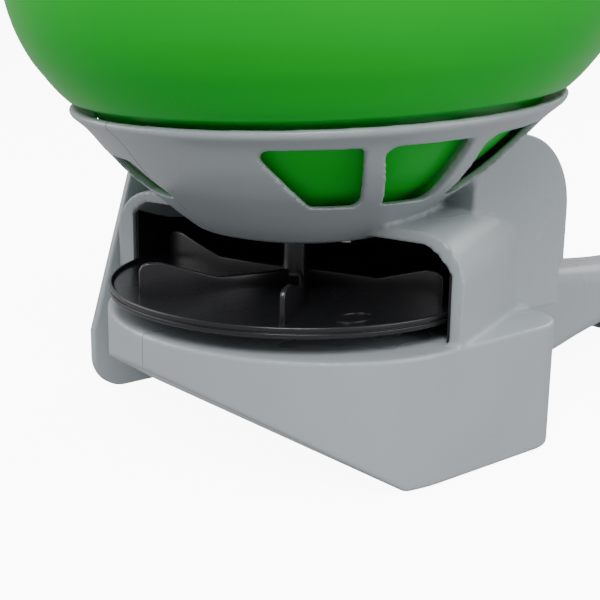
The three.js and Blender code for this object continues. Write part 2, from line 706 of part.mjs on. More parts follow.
const crownTeethSolids = Array.from({ length: crownTeeth }, (_, i) =>
  crownTooth((i + 0.5) * 2 * Math.PI / crownTeeth));
add('crown_gear', cut(
  join(bar(0, crankAxisZ, crownRadius + 1.2, crownBack, meshX - dedendum, 36), ...crownTeethSolids,
    bar(0, crankAxisZ, crankShaftRadius + 2.5, crownBack - 3, crownBack + 1)),
  bar(0, crankAxisZ, crankShaftRadius + joint, crownBack - 4, crownBack + crownDisc - 1)), nylon());

function pinionTooth(angle) {
  const tip = 0.45;
  const shape = polygon([
    [pinionRadius - dedendum - 0.6, -toothHalf - 0.35], [pinionRadius, -toothHalf], [pinionRadius + addendum, -tip],
    [pinionRadius + addendum, tip], [pinionRadius, toothHalf], [pinionRadius - dedendum - 0.6, toothHalf + 0.35],
  ]);
  const geometry = extrude(shape, crownFace - 0.2).rotateZ(angle);
  return toSolid(geometry.translate(0, 0, meshTop - crownFace));
}

const pinionToothSolids = Array.from({ length: pinionTeeth }, (_, i) =>
  pinionTooth(Math.PI + i * 2 * Math.PI / pinionTeeth));
add('pinion', cut(join(
  post(0, 0, pinionRadius - dedendum, meshTop - crownFace - 3, meshTop - 0.2), ...pinionToothSolids),
post(0, 0, bore, 0, 60)), nylon());

// ---------------------------------------------------------------- crank

const crankBack = coverBossFace - 3.4; // inner face of the arm
const crankFace = crankBack - crankThickness;
const spindleEnd = crankFace - knobLength + 1;
add('crank_shaft', bar(0, crankAxisZ, crankShaftRadius, crankFace + 2, crownBack + crownDisc - 1 - joint), steel());

function bushAlongX(name, x0, x1, flange) {
  const sleeve = bar(0, crankAxisZ, bushRadius, x0, x1);
  const body = flange ? join(sleeve, bar(0, crankAxisZ, bushRadius + 2.6, x0 - 2, x0 + 0.01)) : sleeve;
  add(name, cut(body, bar(0, crankAxisZ, crankShaftRadius + running, x0 - 3, x1 + 1)), nylon());
}
bushAlongX('crank_outer_bush', coverBossFace - joint, -rightSide + 6, true);
bushAlongX('crank_inner_bush', pedestalX - pedestalThickness - 0.8, pedestalX, false);

const knobY = crankLength;
add('crank_arm', cut(
  join(side(link(0, crankAxisZ, 10, knobY, crankAxisZ, 7.5), crankFace, crankBack),
    bar(0, crankAxisZ, 11, crankFace - 1.5, crankBack)),
  bar(0, crankAxisZ, crankShaftRadius + joint, crankFace + 2 - joint, crankBack + 1),
  bar(0, crankAxisZ, screwShank + joint, crankFace - 3, crankBack, 12),
  bar(knobY, crankAxisZ, spindleRadius + joint, crankFace - 1, crankBack + 1)), grey());

add('knob_spindle', join(
  bar(knobY, crankAxisZ, spindleRadius, spindleEnd, crankBack + 1),
  bar(knobY, crankAxisZ, spindleRadius + 2, crankBack + joint, crankBack + 2)), steel());

const knobStart = crankFace - 0.6;
const alongKnob = (solid) => toSolid(toGeometry(solid)
  .applyMatrix4(new THREE.Matrix4().makeRotationY(-Math.PI / 2))
  .translate(knobStart, knobY, crankAxisZ));
const knobBore = spindleRadius + running;
add('crank_knob', cut(alongKnob(turned([
  [0, 0], [knobRadius - 3.5, 0], [knobRadius - 2.5, 1], [knobRadius - 3, 6], [knobRadius, 16], [knobRadius, 24],
  [knobRadius - 2, 31], [knobRadius - 4, knobLength], [0, knobLength],
], 20)), bar(knobY, crankAxisZ, knobBore, spindleEnd - 4, crankFace + 1),
bar(knobY, crankAxisZ, 6, knobStart - knobLength - 1, knobStart - knobLength + 4)), black());
const capFloor = knobLength - 4 + joint;
add('knob_cap', cut(alongKnob(turned([
  [0, capFloor], [5.6, capFloor], [5.6, knobLength - 0.4], [4, knobLength + 1], [0, knobLength + 1],
], small)), bar(knobY, crankAxisZ, spindleRadius + joint, spindleEnd - joint, crankFace)), black());
add('crank_screw', join(
  bar(0, crankAxisZ, screwHead, crankFace - 1.5 - joint - screwHeadHeight, crankFace - 1.5 - joint),
  bar(0, crankAxisZ, screwShank, crankFace - 2, crankFace + 2 - 2 * joint, 12)), steel());

// ---------------------------------------------------------------- flow control

const leverEndRadius = 1.4;
const slotHalf = 2.4; // the lever leans in this slot as it draws the gate back
add('flow_gate', cut(join(
  box(-gateHalf, gateHalf, gateFront, gateNeck, gateZ, gateZ + gateThickness),
  box(-gateTailHalf, gateTailHalf, gateNeck - 1, gateRear, gateZ, gateZ + gateThickness)),
box(-leverThickness / 2 - 0.5, leverThickness / 2 + 0.5, leverPivotY - slotHalf, leverPivotY + slotHalf,
  gateZ - 1, gateZ + gateThickness + 1)), nylon());

const leverX = leverThickness / 2;
const leverTip = leverUp + leverEndRadius; // centre of its round end, above the gate
add('gate_lever', cut(join(
  side(link(leverPivotY, leverPivotZ + leverTip, leverEndRadius, leverPivotY, leverPivotZ, leverHalf),
    -leverX, leverX, 6),
  side(link(leverPivotY, leverPivotZ, leverHalf, leverPivotY, leverPivotZ - leverDown, leverHalf),
    -leverX, leverX, 6)),
bar(leverPivotY, leverPivotZ, pinRadius + running, -leverX - 1, leverX + 1)), nylon());
add('gate_lever_pin', bar(leverPivotY, leverPivotZ, pinRadius, -gussetHalf + 1, gussetHalf - 1), steel());

// The trigger swings on its pin: a short arm above pushes the rod forward, a blade below is squeezed.
const bladeReach = 52;
const bladeLow = 2; // lowest point of the blade, just above the foot's plane
function triggerOutline() {
  const y = triggerPivotY;
  const z = triggerPivotZ;
  const shape = new THREE.Shape();
  shape.moveTo(y - 3, z + triggerArm - 0.4);
  shape.absarc(y, z + triggerArm - 0.4, 3, Math.PI, 0, true);
  shape.lineTo(y + 4.4, z);
  shape.quadraticCurveTo(y + 12, z - 8, y + bladeReach - 8, z - 9.5);
  shape.quadraticCurveTo(y + bladeReach, z - 10, y + bladeReach, bladeLow + 3);
  shape.quadraticCurveTo(y + 26, bladeLow - 2, y + 4, bladeLow + 3.5);
  shape.quadraticCurveTo(y - 5, z - 10, y - 4.4, z);
  shape.closePath();
  return shape;
}
add('trigger', cut(side(triggerOutline(), -triggerHalf, triggerHalf, 6),
  bar(triggerPivotY, triggerPivotZ, pinRadius + running, -triggerHalf - 1, triggerHalf + 1)), black());
add('trigger_pin', bar(triggerPivotY, triggerPivotZ, pinRadius, -11, 11), steel());

const rodZ = leverPivotZ - leverDown;
const rodFront = leverPivotY + leverHalf + rodGap;
const rodRear = triggerPivotY - 3 - joint;
add('push_rod', toSolid(new THREE.LatheGeometry([
  [0, rodFront], [rodNose, rodFront], [rodRadius, rodFront + rodTaper], [rodRadius, rodRear], [0, rodRear],
].map(([r, y]) => new THREE.Vector2(r, y)), 10).translate(0, 0, rodZ)), steel());

// A torsion spring coiled round the trigger's pin, beside the trigger.
const coilTurns = 3;
const coilWire = 0.6;
const coilStart = -triggerHalf - 1.2;
const coilPitch = 1.5;
class Coil extends THREE.Curve {
  getPoint(t) {
    const angle = t * coilTurns * 2 * Math.PI;
    const radius = pinRadius + coilWire + 0.5;
    return new THREE.Vector3(coilStart - t * coilTurns * coilPitch,
      triggerPivotY + radius * Math.cos(angle), triggerPivotZ + radius * Math.sin(angle));
  }
}
const wire = new THREE.Shape().absarc(0, 0, coilWire, 0, 2 * Math.PI, false);
add('trigger_spring', toSolid(new THREE.ExtrudeGeometry(wire, {
  steps: coilTurns * 10, extrudePath: new Coil(), curveSegments: 3,
})), steel());

const dialSeat = 0.6;
const grips = Array.from({ length: 8 }, (_, i) => {
  const angle = i * Math.PI / 4;
  return post((dialRadius + 1.2) * Math.cos(angle), (dialRadius + 1.2) * Math.sin(angle), 2.6, dialSeat + 2, 20, 10);
});
add('flow_dial', onDial(join(
  cut(post(0, 0, dialRadius, dialSeat, dialSeat + dialHeight, 32), ...grips),
  post(0, 0, dialStem, -5, dialSeat + 1),
  box(-1, 1, 4, dialRadius - 2, dialSeat + dialHeight - 0.5, dialSeat + dialHeight + 1))), black());

// ---------------------------------------------------------------- agitator and screws

const agitatorFloor = hopperFloor + hopperWall + 1;
add('agitator', cut(join(
  post(0, 0, shaftRadius + 3, agitatorFloor, shaftTop + 3),
  box(0, 17, -1.6, 1.6, agitatorFloor + 2.4, agitatorFloor + 5.2),
  box(14, 17, -1.6, 1.6, agitatorFloor + 2.4, agitatorFloor + 12)), post(0, 0, bore, 0, shaftTop + joint)), black());

const hopperScrewHead = cradleFloor - joint;
hopperPosts.forEach(([x, y], i) => add(`hopper_screw_${i + 1}`, join(
  post(x, y, screwHead, hopperScrewHead - screwHeadHeight, hopperScrewHead),
  post(x, y, screwShank, hopperScrewHead - 1, hopperFloor - 0.5 - joint, 10)), steel()));

function screwAlongX(name, y, z, seat, tip) {
  add(name, join(bar(y, z, screwHead, seat - screwHeadHeight, seat),
    bar(y, z, screwShank, seat - 1, tip, 10)), steel());
}
screwPosts.forEach(([y, z], i) => screwAlongX(`body_screw_${i + 1}`, y, z, screwSeat - joint, 10.5));
coverScrews.forEach(([y, z], i) => screwAlongX(`cover_screw_${i + 1}`, y, z, coverOuter - joint, -rightSide + 7));

export default spreader;
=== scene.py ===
"""Garden spreader: the finished look of a hand-held broadcast spreader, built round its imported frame.

Millimetres are used throughout and turned to metres as vertices are placed. +Z is up, the impeller turns about Z,
the foot stands on z = 0, the nose points to -Y and the handle to +Y. +X is the user's left.
"""

from __future__ import annotations

import json
import logging
import math
from collections.abc import Callable, Iterator, Sequence
from contextlib import contextmanager
from dataclasses import dataclass, field
from enum import Enum

import bmesh
import bpy
from mathutils import Matrix, Vector

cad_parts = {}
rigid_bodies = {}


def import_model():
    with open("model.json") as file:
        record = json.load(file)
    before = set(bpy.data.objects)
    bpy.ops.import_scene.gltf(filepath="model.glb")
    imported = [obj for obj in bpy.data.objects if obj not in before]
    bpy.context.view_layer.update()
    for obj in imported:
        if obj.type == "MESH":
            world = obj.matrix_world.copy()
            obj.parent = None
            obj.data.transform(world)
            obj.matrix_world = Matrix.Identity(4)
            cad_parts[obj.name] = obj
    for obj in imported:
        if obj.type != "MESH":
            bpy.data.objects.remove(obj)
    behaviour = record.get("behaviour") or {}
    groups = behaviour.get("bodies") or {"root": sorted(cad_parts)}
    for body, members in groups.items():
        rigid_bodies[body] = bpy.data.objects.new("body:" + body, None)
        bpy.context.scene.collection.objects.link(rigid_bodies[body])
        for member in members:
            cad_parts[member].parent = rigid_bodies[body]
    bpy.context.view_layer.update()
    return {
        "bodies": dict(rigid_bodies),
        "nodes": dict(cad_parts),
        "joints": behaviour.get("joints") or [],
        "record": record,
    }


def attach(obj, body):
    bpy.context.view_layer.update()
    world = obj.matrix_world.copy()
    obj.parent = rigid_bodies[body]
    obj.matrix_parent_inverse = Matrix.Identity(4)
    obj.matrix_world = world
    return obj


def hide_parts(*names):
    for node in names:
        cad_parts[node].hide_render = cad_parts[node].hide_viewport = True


LOG = logging.getLogger("spreader")
MM = 0.001
Pair = tuple[float, float]
Ring = list[Vector]
# Where the flow dial sits: on the slope of the web, its Z along the slope's normal.
DIAL_PLACE = Matrix.Translation((0, 111, 59.333)) @ Matrix.Rotation(-math.atan2(64, 48), 4, "X")


class Facing(Enum):
    """The plane that a flat outline is drawn in."""

    PLAN = "outline in X and Y, raised along Z"
    SIDE = "outline in Y and Z, carried along X"


class Cut(Enum):
    """How one solid acts on another."""

    OFF = "DIFFERENCE"
    ON = "UNION"
    SHARED = "INTERSECT"


def turn(degrees: float) -> float:
    """Radians of an angle in degrees."""
    return math.radians(degrees)


def fillet(points: Sequence[Pair], radius: float | Sequence[float], steps: int = 6) -> list[Pair]:
    """Rounds the corners of a closed outline.

    Args:
        points: the corners, in order.
        radius: one radius for all corners, or one for each.
        steps: straight pieces in each arc.

    Returns:
        The outline with an arc in place of each corner that has a radius.
    """
    count = len(points)
    radii = [radius] * count if isinstance(radius, (int, float)) else list(radius)
    made: list[Pair] = []
    for i, here in enumerate(points):
        if radii[i] <= 0:
            made.append(here)
            continue
        corner = Vector(here)
        back = Vector(points[i - 1]) - corner
        ahead = Vector(points[(i + 1) % count]) - corner
        angle = back.angle(ahead)
        if abs(math.pi - angle) < 1e-3:
            made.append(here)
            continue
        reach = min(radii[i] / math.tan(angle / 2), 0.49 * back.length, 0.49 * ahead.length)
        size = reach * math.tan(angle / 2)
        start = corner + back.normalized() * reach
        end = corner + ahead.normalized() * reach
        middle = corner + (back.normalized() + ahead.normalized()).normalized() * (size / math.sin(angle / 2))
        first, last = start - middle, end - middle
        span = first.angle(last)
        for k in range(steps + 1):
            share = k / steps
            part = (first * math.sin((1 - share) * span) + last * math.sin(share * span)) / math.sin(span)
            made.append(tuple(middle + part))
    return made


def spline(points: Sequence[Pair], per: int = 6) -> list[Pair]:
    """A smooth curve through points.

    Args:
        points: the points it passes through.
        per: pieces between each two points.

    Returns:
        The points of the curve, both ends among them.
    """
    made: list[Pair] = []
    for i in range(len(points) - 1):
        p1, p2 = Vector(points[i]), Vector(points[i + 1])
        p0 = Vector(points[i - 1]) if i else p1 * 2 - p2
        p3 = Vector(points[i + 2]) if i + 2 < len(points) else p2 * 2 - p1
        for k in range(per):
            t = k / per
            made.append(tuple(0.5 * (2 * p1 + (p2 - p0) * t + (2 * p0 - 5 * p1 + 4 * p2 - p3) * t * t
                                     + (3 * p1 - p0 - 3 * p2 + p3) * t ** 3)))
    made.append(tuple(points[-1]))
    return made


def arc(centre: Pair, radius: float, start: float, end: float, steps: int = 12) -> list[Pair]:
    """Points of an arc, from one angle in degrees to another."""
    return [(centre[0] + radius * math.cos(turn(start + (end - start) * k / steps)),
             centre[1] + radius * math.sin(turn(start + (end - start) * k / steps))) for k in range(steps + 1)]


def refined(points: Sequence[Pair], most: float) -> list[Pair]:
    """Splits every side of a closed outline into pieces no longer than `most`."""
    made: list[Pair] = []
    for i, here in enumerate(points):
        start, way = Vector(here), Vector(points[(i + 1) % len(points)]) - Vector(here)
        pieces = max(1, math.ceil(way.length / most))
        made += [tuple(start + way * (k / pieces)) for k in range(pieces)]
    return made


def link(start: Pair, start_radius: float, end: Pair, end_radius: float, steps: int = 20) -> list[Pair]:
    """Outline of a flat bar with round ends."""
    heading = math.degrees(math.atan2(end[1] - start[1], end[0] - start[0]))
    return (arc(start, start_radius, heading + 90, heading + 270, steps)
            + arc(end, end_radius, heading - 90, heading + 90, steps))


class Bench:
    """Makes and shapes meshes with Blender's own modelling operators."""

    @staticmethod
    def deselect() -> None:
        """Leaves nothing selected, in object mode."""
        if bpy.context.object and bpy.context.object.mode != "OBJECT":
            bpy.ops.object.mode_set(mode="OBJECT")
        bpy.ops.object.select_all(action="DESELECT")

    @classmethod
    def focus(cls, piece: bpy.types.Object) -> None:
        """Makes one object the selected and active one."""
        cls.deselect()
        piece.select_set(True)
        bpy.context.view_layer.objects.active = piece

    @classmethod
    @contextmanager
    def editing(cls, piece: bpy.types.Object) -> Iterator[None]:
        """Edit mode on one object, with everything in it selected."""
        cls.focus(piece)
        bpy.ops.object.mode_set(mode="EDIT")
        bpy.ops.mesh.select_mode(type="VERT")
        bpy.ops.mesh.select_all(action="SELECT")
        yield
        bpy.ops.object.mode_set(mode="OBJECT")

    @staticmethod
    def outward() -> None:
        """Turns every face of the mesh being edited outwards."""
        bpy.ops.mesh.select_all(action="SELECT")
        bpy.ops.mesh.normals_make_consistent(inside=False)

    @staticmethod
    def pick(kind: str, test: Callable[[Vector, Vector], bool]) -> None:
        """Selects faces or edges of the mesh being edited.

        Args:
            kind: FACE or EDGE.
            test: takes the middle in millimetres, and the normal or the edge's direction.
        """
        bpy.ops.mesh.select_mode(type=kind)
        bpy.ops.mesh.select_all(action="DESELECT")
        mesh = bmesh.from_edit_mesh(bpy.context.object.data)
        if kind == "FACE":
            for face in mesh.faces:
                face.select_set(test(face.calc_center_median() / MM, face.normal))
        else:
            for edge in mesh.edges:
                a, b = (vertex.co for vertex in edge.verts)
                edge.select_set(test((a + b) / 2 / MM, (b - a).normalized()))
        bmesh.update_edit_mesh(bpy.context.object.data)

    @staticmethod
    def soften(width: float, segments: int = 3, sharper: float = 35.0) -> None:
        """Bevels the edges of the mesh being edited that turn by more than `sharper` degrees."""
        bpy.ops.mesh.select_mode(type="EDGE")
        bpy.ops.mesh.select_all(action="DESELECT")
        bpy.ops.mesh.edges_select_sharp(sharpness=turn(sharper))
        bpy.ops.mesh.bevel(offset=width * MM, segments=segments, profile=0.5, affect="EDGES", clamp_overlap=True)

    @classmethod
    def prism(cls, name: str, outline: Sequence[Pair], facing: Facing, low: float, high: float,
              edge: float = 0.0, segments: int = 4) -> bpy.types.Object:
        """A flat outline given depth.

        Args:
            name: the object's name.
            outline: its corners in order.
            facing: the plane it's drawn in.
            low: where the depth starts.
            high: where it ends.
            edge: radius of its two rims, or 0.
            segments: pieces across each rounded rim.

        Returns:
            The closed solid.
        """
        cls.deselect()
        bpy.ops.mesh.primitive_circle_add(vertices=len(outline), radius=MM, fill_type="NGON")
        piece = bpy.context.object
        piece.name = name
        flat = facing is Facing.PLAN
        for vertex, (a, b) in zip(piece.data.vertices, outline):
            vertex.co = Vector((a, b, low) if flat else (low, a, b)) * MM
        depth = Vector((0, 0, high - low) if flat else (high - low, 0, 0)) * MM
        with cls.editing(piece):
            bpy.ops.mesh.extrude_region_move(TRANSFORM_OT_translate={"value": depth})
            cls.outward()
            if edge:
                cls.soften(edge, segments)
        return piece

    @classmethod
    def loft(cls, name: str, rings: Sequence[Ring]) -> bpy.types.Object:
        """A closed skin through rings of equally many points, capped at both ends."""
        cls.deselect()
        count = len(rings[0])
        bpy.ops.mesh.primitive_grid_add(x_subdivisions=count, y_subdivisions=len(rings) - 1, size=MM)
        piece = bpy.context.object
        piece.name = name
        places = [ring[i % count] for ring in rings for i in range(count + 1)]
        for vertex, place in zip(piece.data.vertices, places, strict=True):
            vertex.co = place * MM
        with cls.editing(piece):
            bpy.ops.mesh.remove_doubles(threshold=1e-6)
            bpy.ops.mesh.select_all(action="SELECT")
            bpy.ops.mesh.fill_holes(sides=0)
            cls.outward()
        return piece

    @classmethod
    def turned(cls, name: str, profile: Sequence[Pair], steps: int = 96) -> bpy.types.Object:
        """A closed profile of radius and height, spun about Z."""
        cls.deselect()
        bpy.ops.mesh.primitive_circle_add(vertices=len(profile), radius=MM, fill_type="NOTHING")
        piece = bpy.context.object
        piece.name = name
        for vertex, (radius, height) in zip(piece.data.vertices, profile):
            vertex.co = Vector((radius, 0, height)) * MM
        with cls.editing(piece):
            bpy.ops.mesh.spin(steps=steps, angle=2 * math.pi, center=(0, 0, 0), axis=(0, 0, 1))
            bpy.ops.mesh.select_all(action="SELECT")
            bpy.ops.mesh.remove_doubles(threshold=1e-6)
            bpy.ops.mesh.select_all(action="SELECT")
            bpy.ops.mesh.delete_loose(use_verts=True, use_edges=True, use_faces=False)
            cls.outward()
        return piece

    @classmethod
    def block(cls, low: Sequence[float], high: Sequence[float], edge: float = 0.0) -> bpy.types.Object:
        """A box between two corners, with rounded edges where asked."""
        cls.deselect()
        size = Vector(high) - Vector(low)
        bpy.ops.mesh.primitive_cube_add(size=1, location=(Vector(low) + size / 2) * MM, scale=size * MM)
        piece = bpy.context.object
        bpy.ops.object.transform_apply(location=True, rotation=True, scale=True)
        if edge:
            with cls.editing(piece):
                cls.soften(edge)
        return piece

    @classmethod
    def bar(cls, y: float, z: float, radius: float, x0: float, x1: float, edge: float = 0.0,
            facets: int = 48) -> bpy.types.Object:
        """A round bar along X."""
        cls.deselect()
        bpy.ops.mesh.primitive_cylinder_add(
            vertices=facets, radius=radius * MM, depth=abs(x1 - x0) * MM,
            location=Vector(((x0 + x1) / 2, y, z)) * MM, rotation=(0, math.pi / 2, 0))
        return cls._settled(edge)

    @classmethod
    def post(cls, x: float, y: float, radius: float, z0: float, z1: float, edge: float = 0.0,
             facets: int = 48) -> bpy.types.Object:
        """An upright round bar."""
        cls.deselect()
        bpy.ops.mesh.primitive_cylinder_add(
            vertices=facets, radius=radius * MM, depth=abs(z1 - z0) * MM,
            location=Vector((x, y, (z0 + z1) / 2)) * MM)
        return cls._settled(edge)

    @classmethod
    def _settled(cls, edge: float) -> bpy.types.Object:
        """Applies the active object's place, then rounds its rims."""
        piece = bpy.context.object
        bpy.ops.object.transform_apply(location=True, rotation=True, scale=True)
        if edge:
            with cls.editing(piece):
                cls.soften(edge)
        return piece

    @classmethod
    def apply(cls, piece: bpy.types.Object, kind: str, **settings: object) -> None:
        """Adds one modifier and applies it.

        Args:
            piece: the object it shapes.
            kind: the modifier's type.
            **settings: its values.
        """
        cls.focus(piece)
        step = piece.modifiers.new(kind.lower(), kind)
        for key, value in settings.items():
            setattr(step, key, value)
        bpy.ops.object.modifier_apply(modifier=step.name)

    @classmethod
    def combine(cls, piece: bpy.types.Object, how: Cut, *tools: bpy.types.Object) -> bpy.types.Object:
        """Joins tools to a solid, cuts them off it, or keeps what they share. The tools are used up."""
        for tool in tools:
            before = len(piece.data.vertices)
            for solver in ("MANIFOLD", "EXACT"):
                cls.apply(piece, "BOOLEAN", operation=how.value, object=tool, solver=solver)
                if len(piece.data.vertices) != before:
                    break
            bpy.data.objects.remove(tool)
        return piece

    @classmethod
    def joined(cls, name: str, pieces: Sequence[bpy.types.Object]) -> bpy.types.Object:
        """Puts several meshes into one object."""
        cls.focus(pieces[0])
        for other in pieces[1:]:
            other.select_set(True)
        bpy.ops.object.join()
        pieces[0].name = name
        return pieces[0]

    @staticmethod
    def copied(piece: bpy.types.Object, name: str) -> bpy.types.Object:
        """A copy with its own mesh."""
        copy = piece.copy()
        copy.data = piece.data.copy()
        copy.name = name
        bpy.context.scene.collection.objects.link(copy)
        return copy

    @staticmethod
    def moved(piece: bpy.types.Object, name: str, place: Matrix) -> bpy.types.Object:
        """Names a piece and moves its mesh by a matrix in millimetres."""
        scaled = place.copy()
        scaled.translation = scaled.translation * MM
        piece.data.transform(scaled)
        piece.name = name
        return piece

    @classmethod
    def moulded(cls, piece: bpy.types.Object, voxel: float, rounds: int, keep: float) -> bpy.types.Object:
        """Gives a solid the small even radii of an injection moulding.

        Args:
            piece: the solid.
            voxel: size of the new skin's faces.
            rounds: how often the skin is relaxed, which sets the radii.
            keep: share of the faces kept at the end.

        Returns:
            The same object.
        """
        cls.apply(piece, "REMESH", mode="VOXEL", voxel_size=voxel * MM, adaptivity=0.0)
        cls.apply(piece, "SMOOTH", factor=0.5, iterations=rounds)
        if keep < 1:
            cls.apply(piece, "DECIMATE", decimate_type="COLLAPSE", ratio=keep)
        return piece

    @classmethod
    def smooth(cls, piece: bpy.types.Object, angle: float = 38.0) -> bpy.types.Object:
        """Shades a piece smooth except at edges sharper than an angle in degrees."""
        cls.focus(piece)
        bpy.ops.object.shade_smooth_by_angle(angle=turn(angle))
        return piece


# ------------------------------------------------------------------ finishes


def linear(hexed: str) -> tuple[float, float, float, float]:
    """Turns an sRGB hex colour to linear RGBA."""
    parts = [int(hexed[i:i + 2], 16) / 255 for i in (1, 3, 5)]
    return (*[c / 12.92 if c <= 0.04045 else ((c + 0.055) / 1.055) ** 2.4 for c in parts], 1.0)


def add(tree: bpy.types.NodeTree, kind: str, settings: dict[str | int, object] | None = None,
        links: dict[str | int, bpy.types.NodeSocket] | None = None) -> bpy.types.Node:
    """Adds a node.

    Args:
        tree: the node tree.
        kind: the node's type.
        settings: values of its own properties, or of its sockets where the name is one.
        links: the sockets that feed its inputs.

    Returns:
        The node.
    """
    made = tree.nodes.new(kind)
    for key, value in (settings or {}).items():
        if isinstance(key, int) or key in made.inputs:
            made.inputs[key].default_value = value
        else:
            setattr(made, key, value)
    for key, socket in (links or {}).items():
        tree.links.new(socket, made.inputs[key])
    return made


@dataclass(frozen=True)
class Moulding:
    """An injection-moulded plastic.

    Attributes:
        name: what it is.
        colour: its sRGB colour.
        roughness: mean roughness.
        polish: how far the roughness drifts over the surface.
        drift: how far the tone drifts over the surface.
        grain_mm: spacing of the fine texture left by the tool.
        grain_mm_deep: depth of that texture.
        flow_mm: size of the slow waves that cooling leaves.
        coat: strength of the clear skin on top.
        ior: refractive index.
    """

    name: str
    colour: str
    roughness: float
    polish: float = 0.05
    drift: float = 0.04
    grain_mm: float = 0.5
    grain_mm_deep: float = 0.01
    flow_mm: float = 35.0
    coat: float = 0.0
    ior: float = 1.5

    def make(self) -> bpy.types.Material:
        """Builds the material: toned base, drifting roughness, cooling waves and tool grain."""
        material = bpy.data.materials.new(self.name)
        material.use_nodes = True
        tree = material.node_tree
        shader = tree.nodes["Principled BSDF"]
        shader.inputs["IOR"].default_value = self.ior
        shader.inputs["Coat Weight"].default_value = self.coat
        shader.inputs["Coat Roughness"].default_value = 0.08
        place = add(tree, "ShaderNodeTexCoord")
        flow = add(tree, "ShaderNodeTexNoise", {"Scale": 1 / (self.flow_mm * MM), "Detail": 2.0},
                   {"Vector": place.outputs["Object"]})
        speckle = add(tree, "ShaderNodeTexNoise", {"Scale": 1 / (1.6 * MM), "Detail": 3.0},
                      {"Vector": place.outputs["Object"]})
        grain = add(tree, "ShaderNodeTexNoise", {"Scale": 1 / (self.grain_mm * MM), "Detail": 2.0},
                    {"Vector": place.outputs["Object"]})
        mixed = add(tree, "ShaderNodeMath", {"operation": "MULTIPLY_ADD", 1: 0.25},
                    {0: speckle.outputs["Fac"], 2: flow.outputs["Fac"]})
        base = linear(self.colour)
        light = tuple(min(1.0, c * (1 + self.drift)) for c in base[:3]) + (1.0,)
        dark = tuple(c * (1 - self.drift) for c in base[:3]) + (1.0,)
        tone = add(tree, "ShaderNodeValToRGB", None, {"Fac": mixed.outputs[0]})
        tone.color_ramp.elements[0].position, tone.color_ramp.elements[0].color = 0.35, dark
        tone.color_ramp.elements[1].position, tone.color_ramp.elements[1].color = 0.9, light
        shine = add(tree, "ShaderNodeMapRange", {
            "From Min": 0.3, "From Max": 0.7,
            "To Min": self.roughness - self.polish, "To Max": self.roughness + self.polish,
        }, {"Value": flow.outputs["Fac"]})
        wave = add(tree, "ShaderNodeBump", {"Strength": 0.25, "Distance": 0.05 * MM}, {"Height": flow.outputs["Fac"]})
        bump = add(tree, "ShaderNodeBump", {"Strength": 0.6, "Distance": self.grain_mm_deep * MM},
                   {"Height": grain.outputs["Fac"], "Normal": wave.outputs["Normal"]})
        tree.links.new(tone.outputs["Color"], shader.inputs["Base Color"])
        tree.links.new(shine.outputs["Result"], shader.inputs["Roughness"])
        tree.links.new(bump.outputs["Normal"], shader.inputs["Normal"])
        return material


@dataclass(frozen=True)
class Plating:
    """Zinc-plated steel, turned or drawn.

    Attributes:
        name: what it is.
        colour: its sRGB colour.
        roughness: mean roughness.
        line_mm: spacing of the fine lines.
    """

    name: str
    colour: str
    roughness: float
    line_mm: float = 0.4

    def make(self) -> bpy.types.Material:
        """Builds the material: pale spangle over fine drawn lines."""
        material = bpy.data.materials.new(self.name)
        material.use_nodes = True
        tree = material.node_tree
        shader = tree.nodes["Principled BSDF"]
        shader.inputs["Metallic"].default_value = 1.0
        place = add(tree, "ShaderNodeTexCoord")
        spangle = add(tree, "ShaderNodeTexVoronoi", {"Scale": 1 / (2.2 * MM)}, {"Vector": place.outputs["Object"]})
        lines = add(tree, "ShaderNodeTexNoise", {"Scale": 1 / (self.line_mm * MM), "Detail": 2.0},
                    {"Vector": place.outputs["Object"]})
        base = linear(self.colour)
        tone = add(tree, "ShaderNodeMix", {"data_type": "RGBA", 6: tuple(c * 0.88 for c in base[:3]) + (1.0,), 7: base},
                   {"Factor": spangle.outputs["Distance"]})
        shine = add(tree, "ShaderNodeMapRange", {"To Min": self.roughness - 0.07, "To Max": self.roughness + 0.1},
                    {"Value": lines.outputs["Fac"]})
        bump = add(tree, "ShaderNodeBump", {"Strength": 0.3, "Distance": 0.01 * MM}, {"Height": lines.outputs["Fac"]})
        tree.links.new(tone.outputs[2], shader.inputs["Base Color"])
        tree.links.new(shine.outputs["Result"], shader.inputs["Roughness"])
        tree.links.new(bump.outputs["Normal"], shader.inputs["Normal"])
        return material


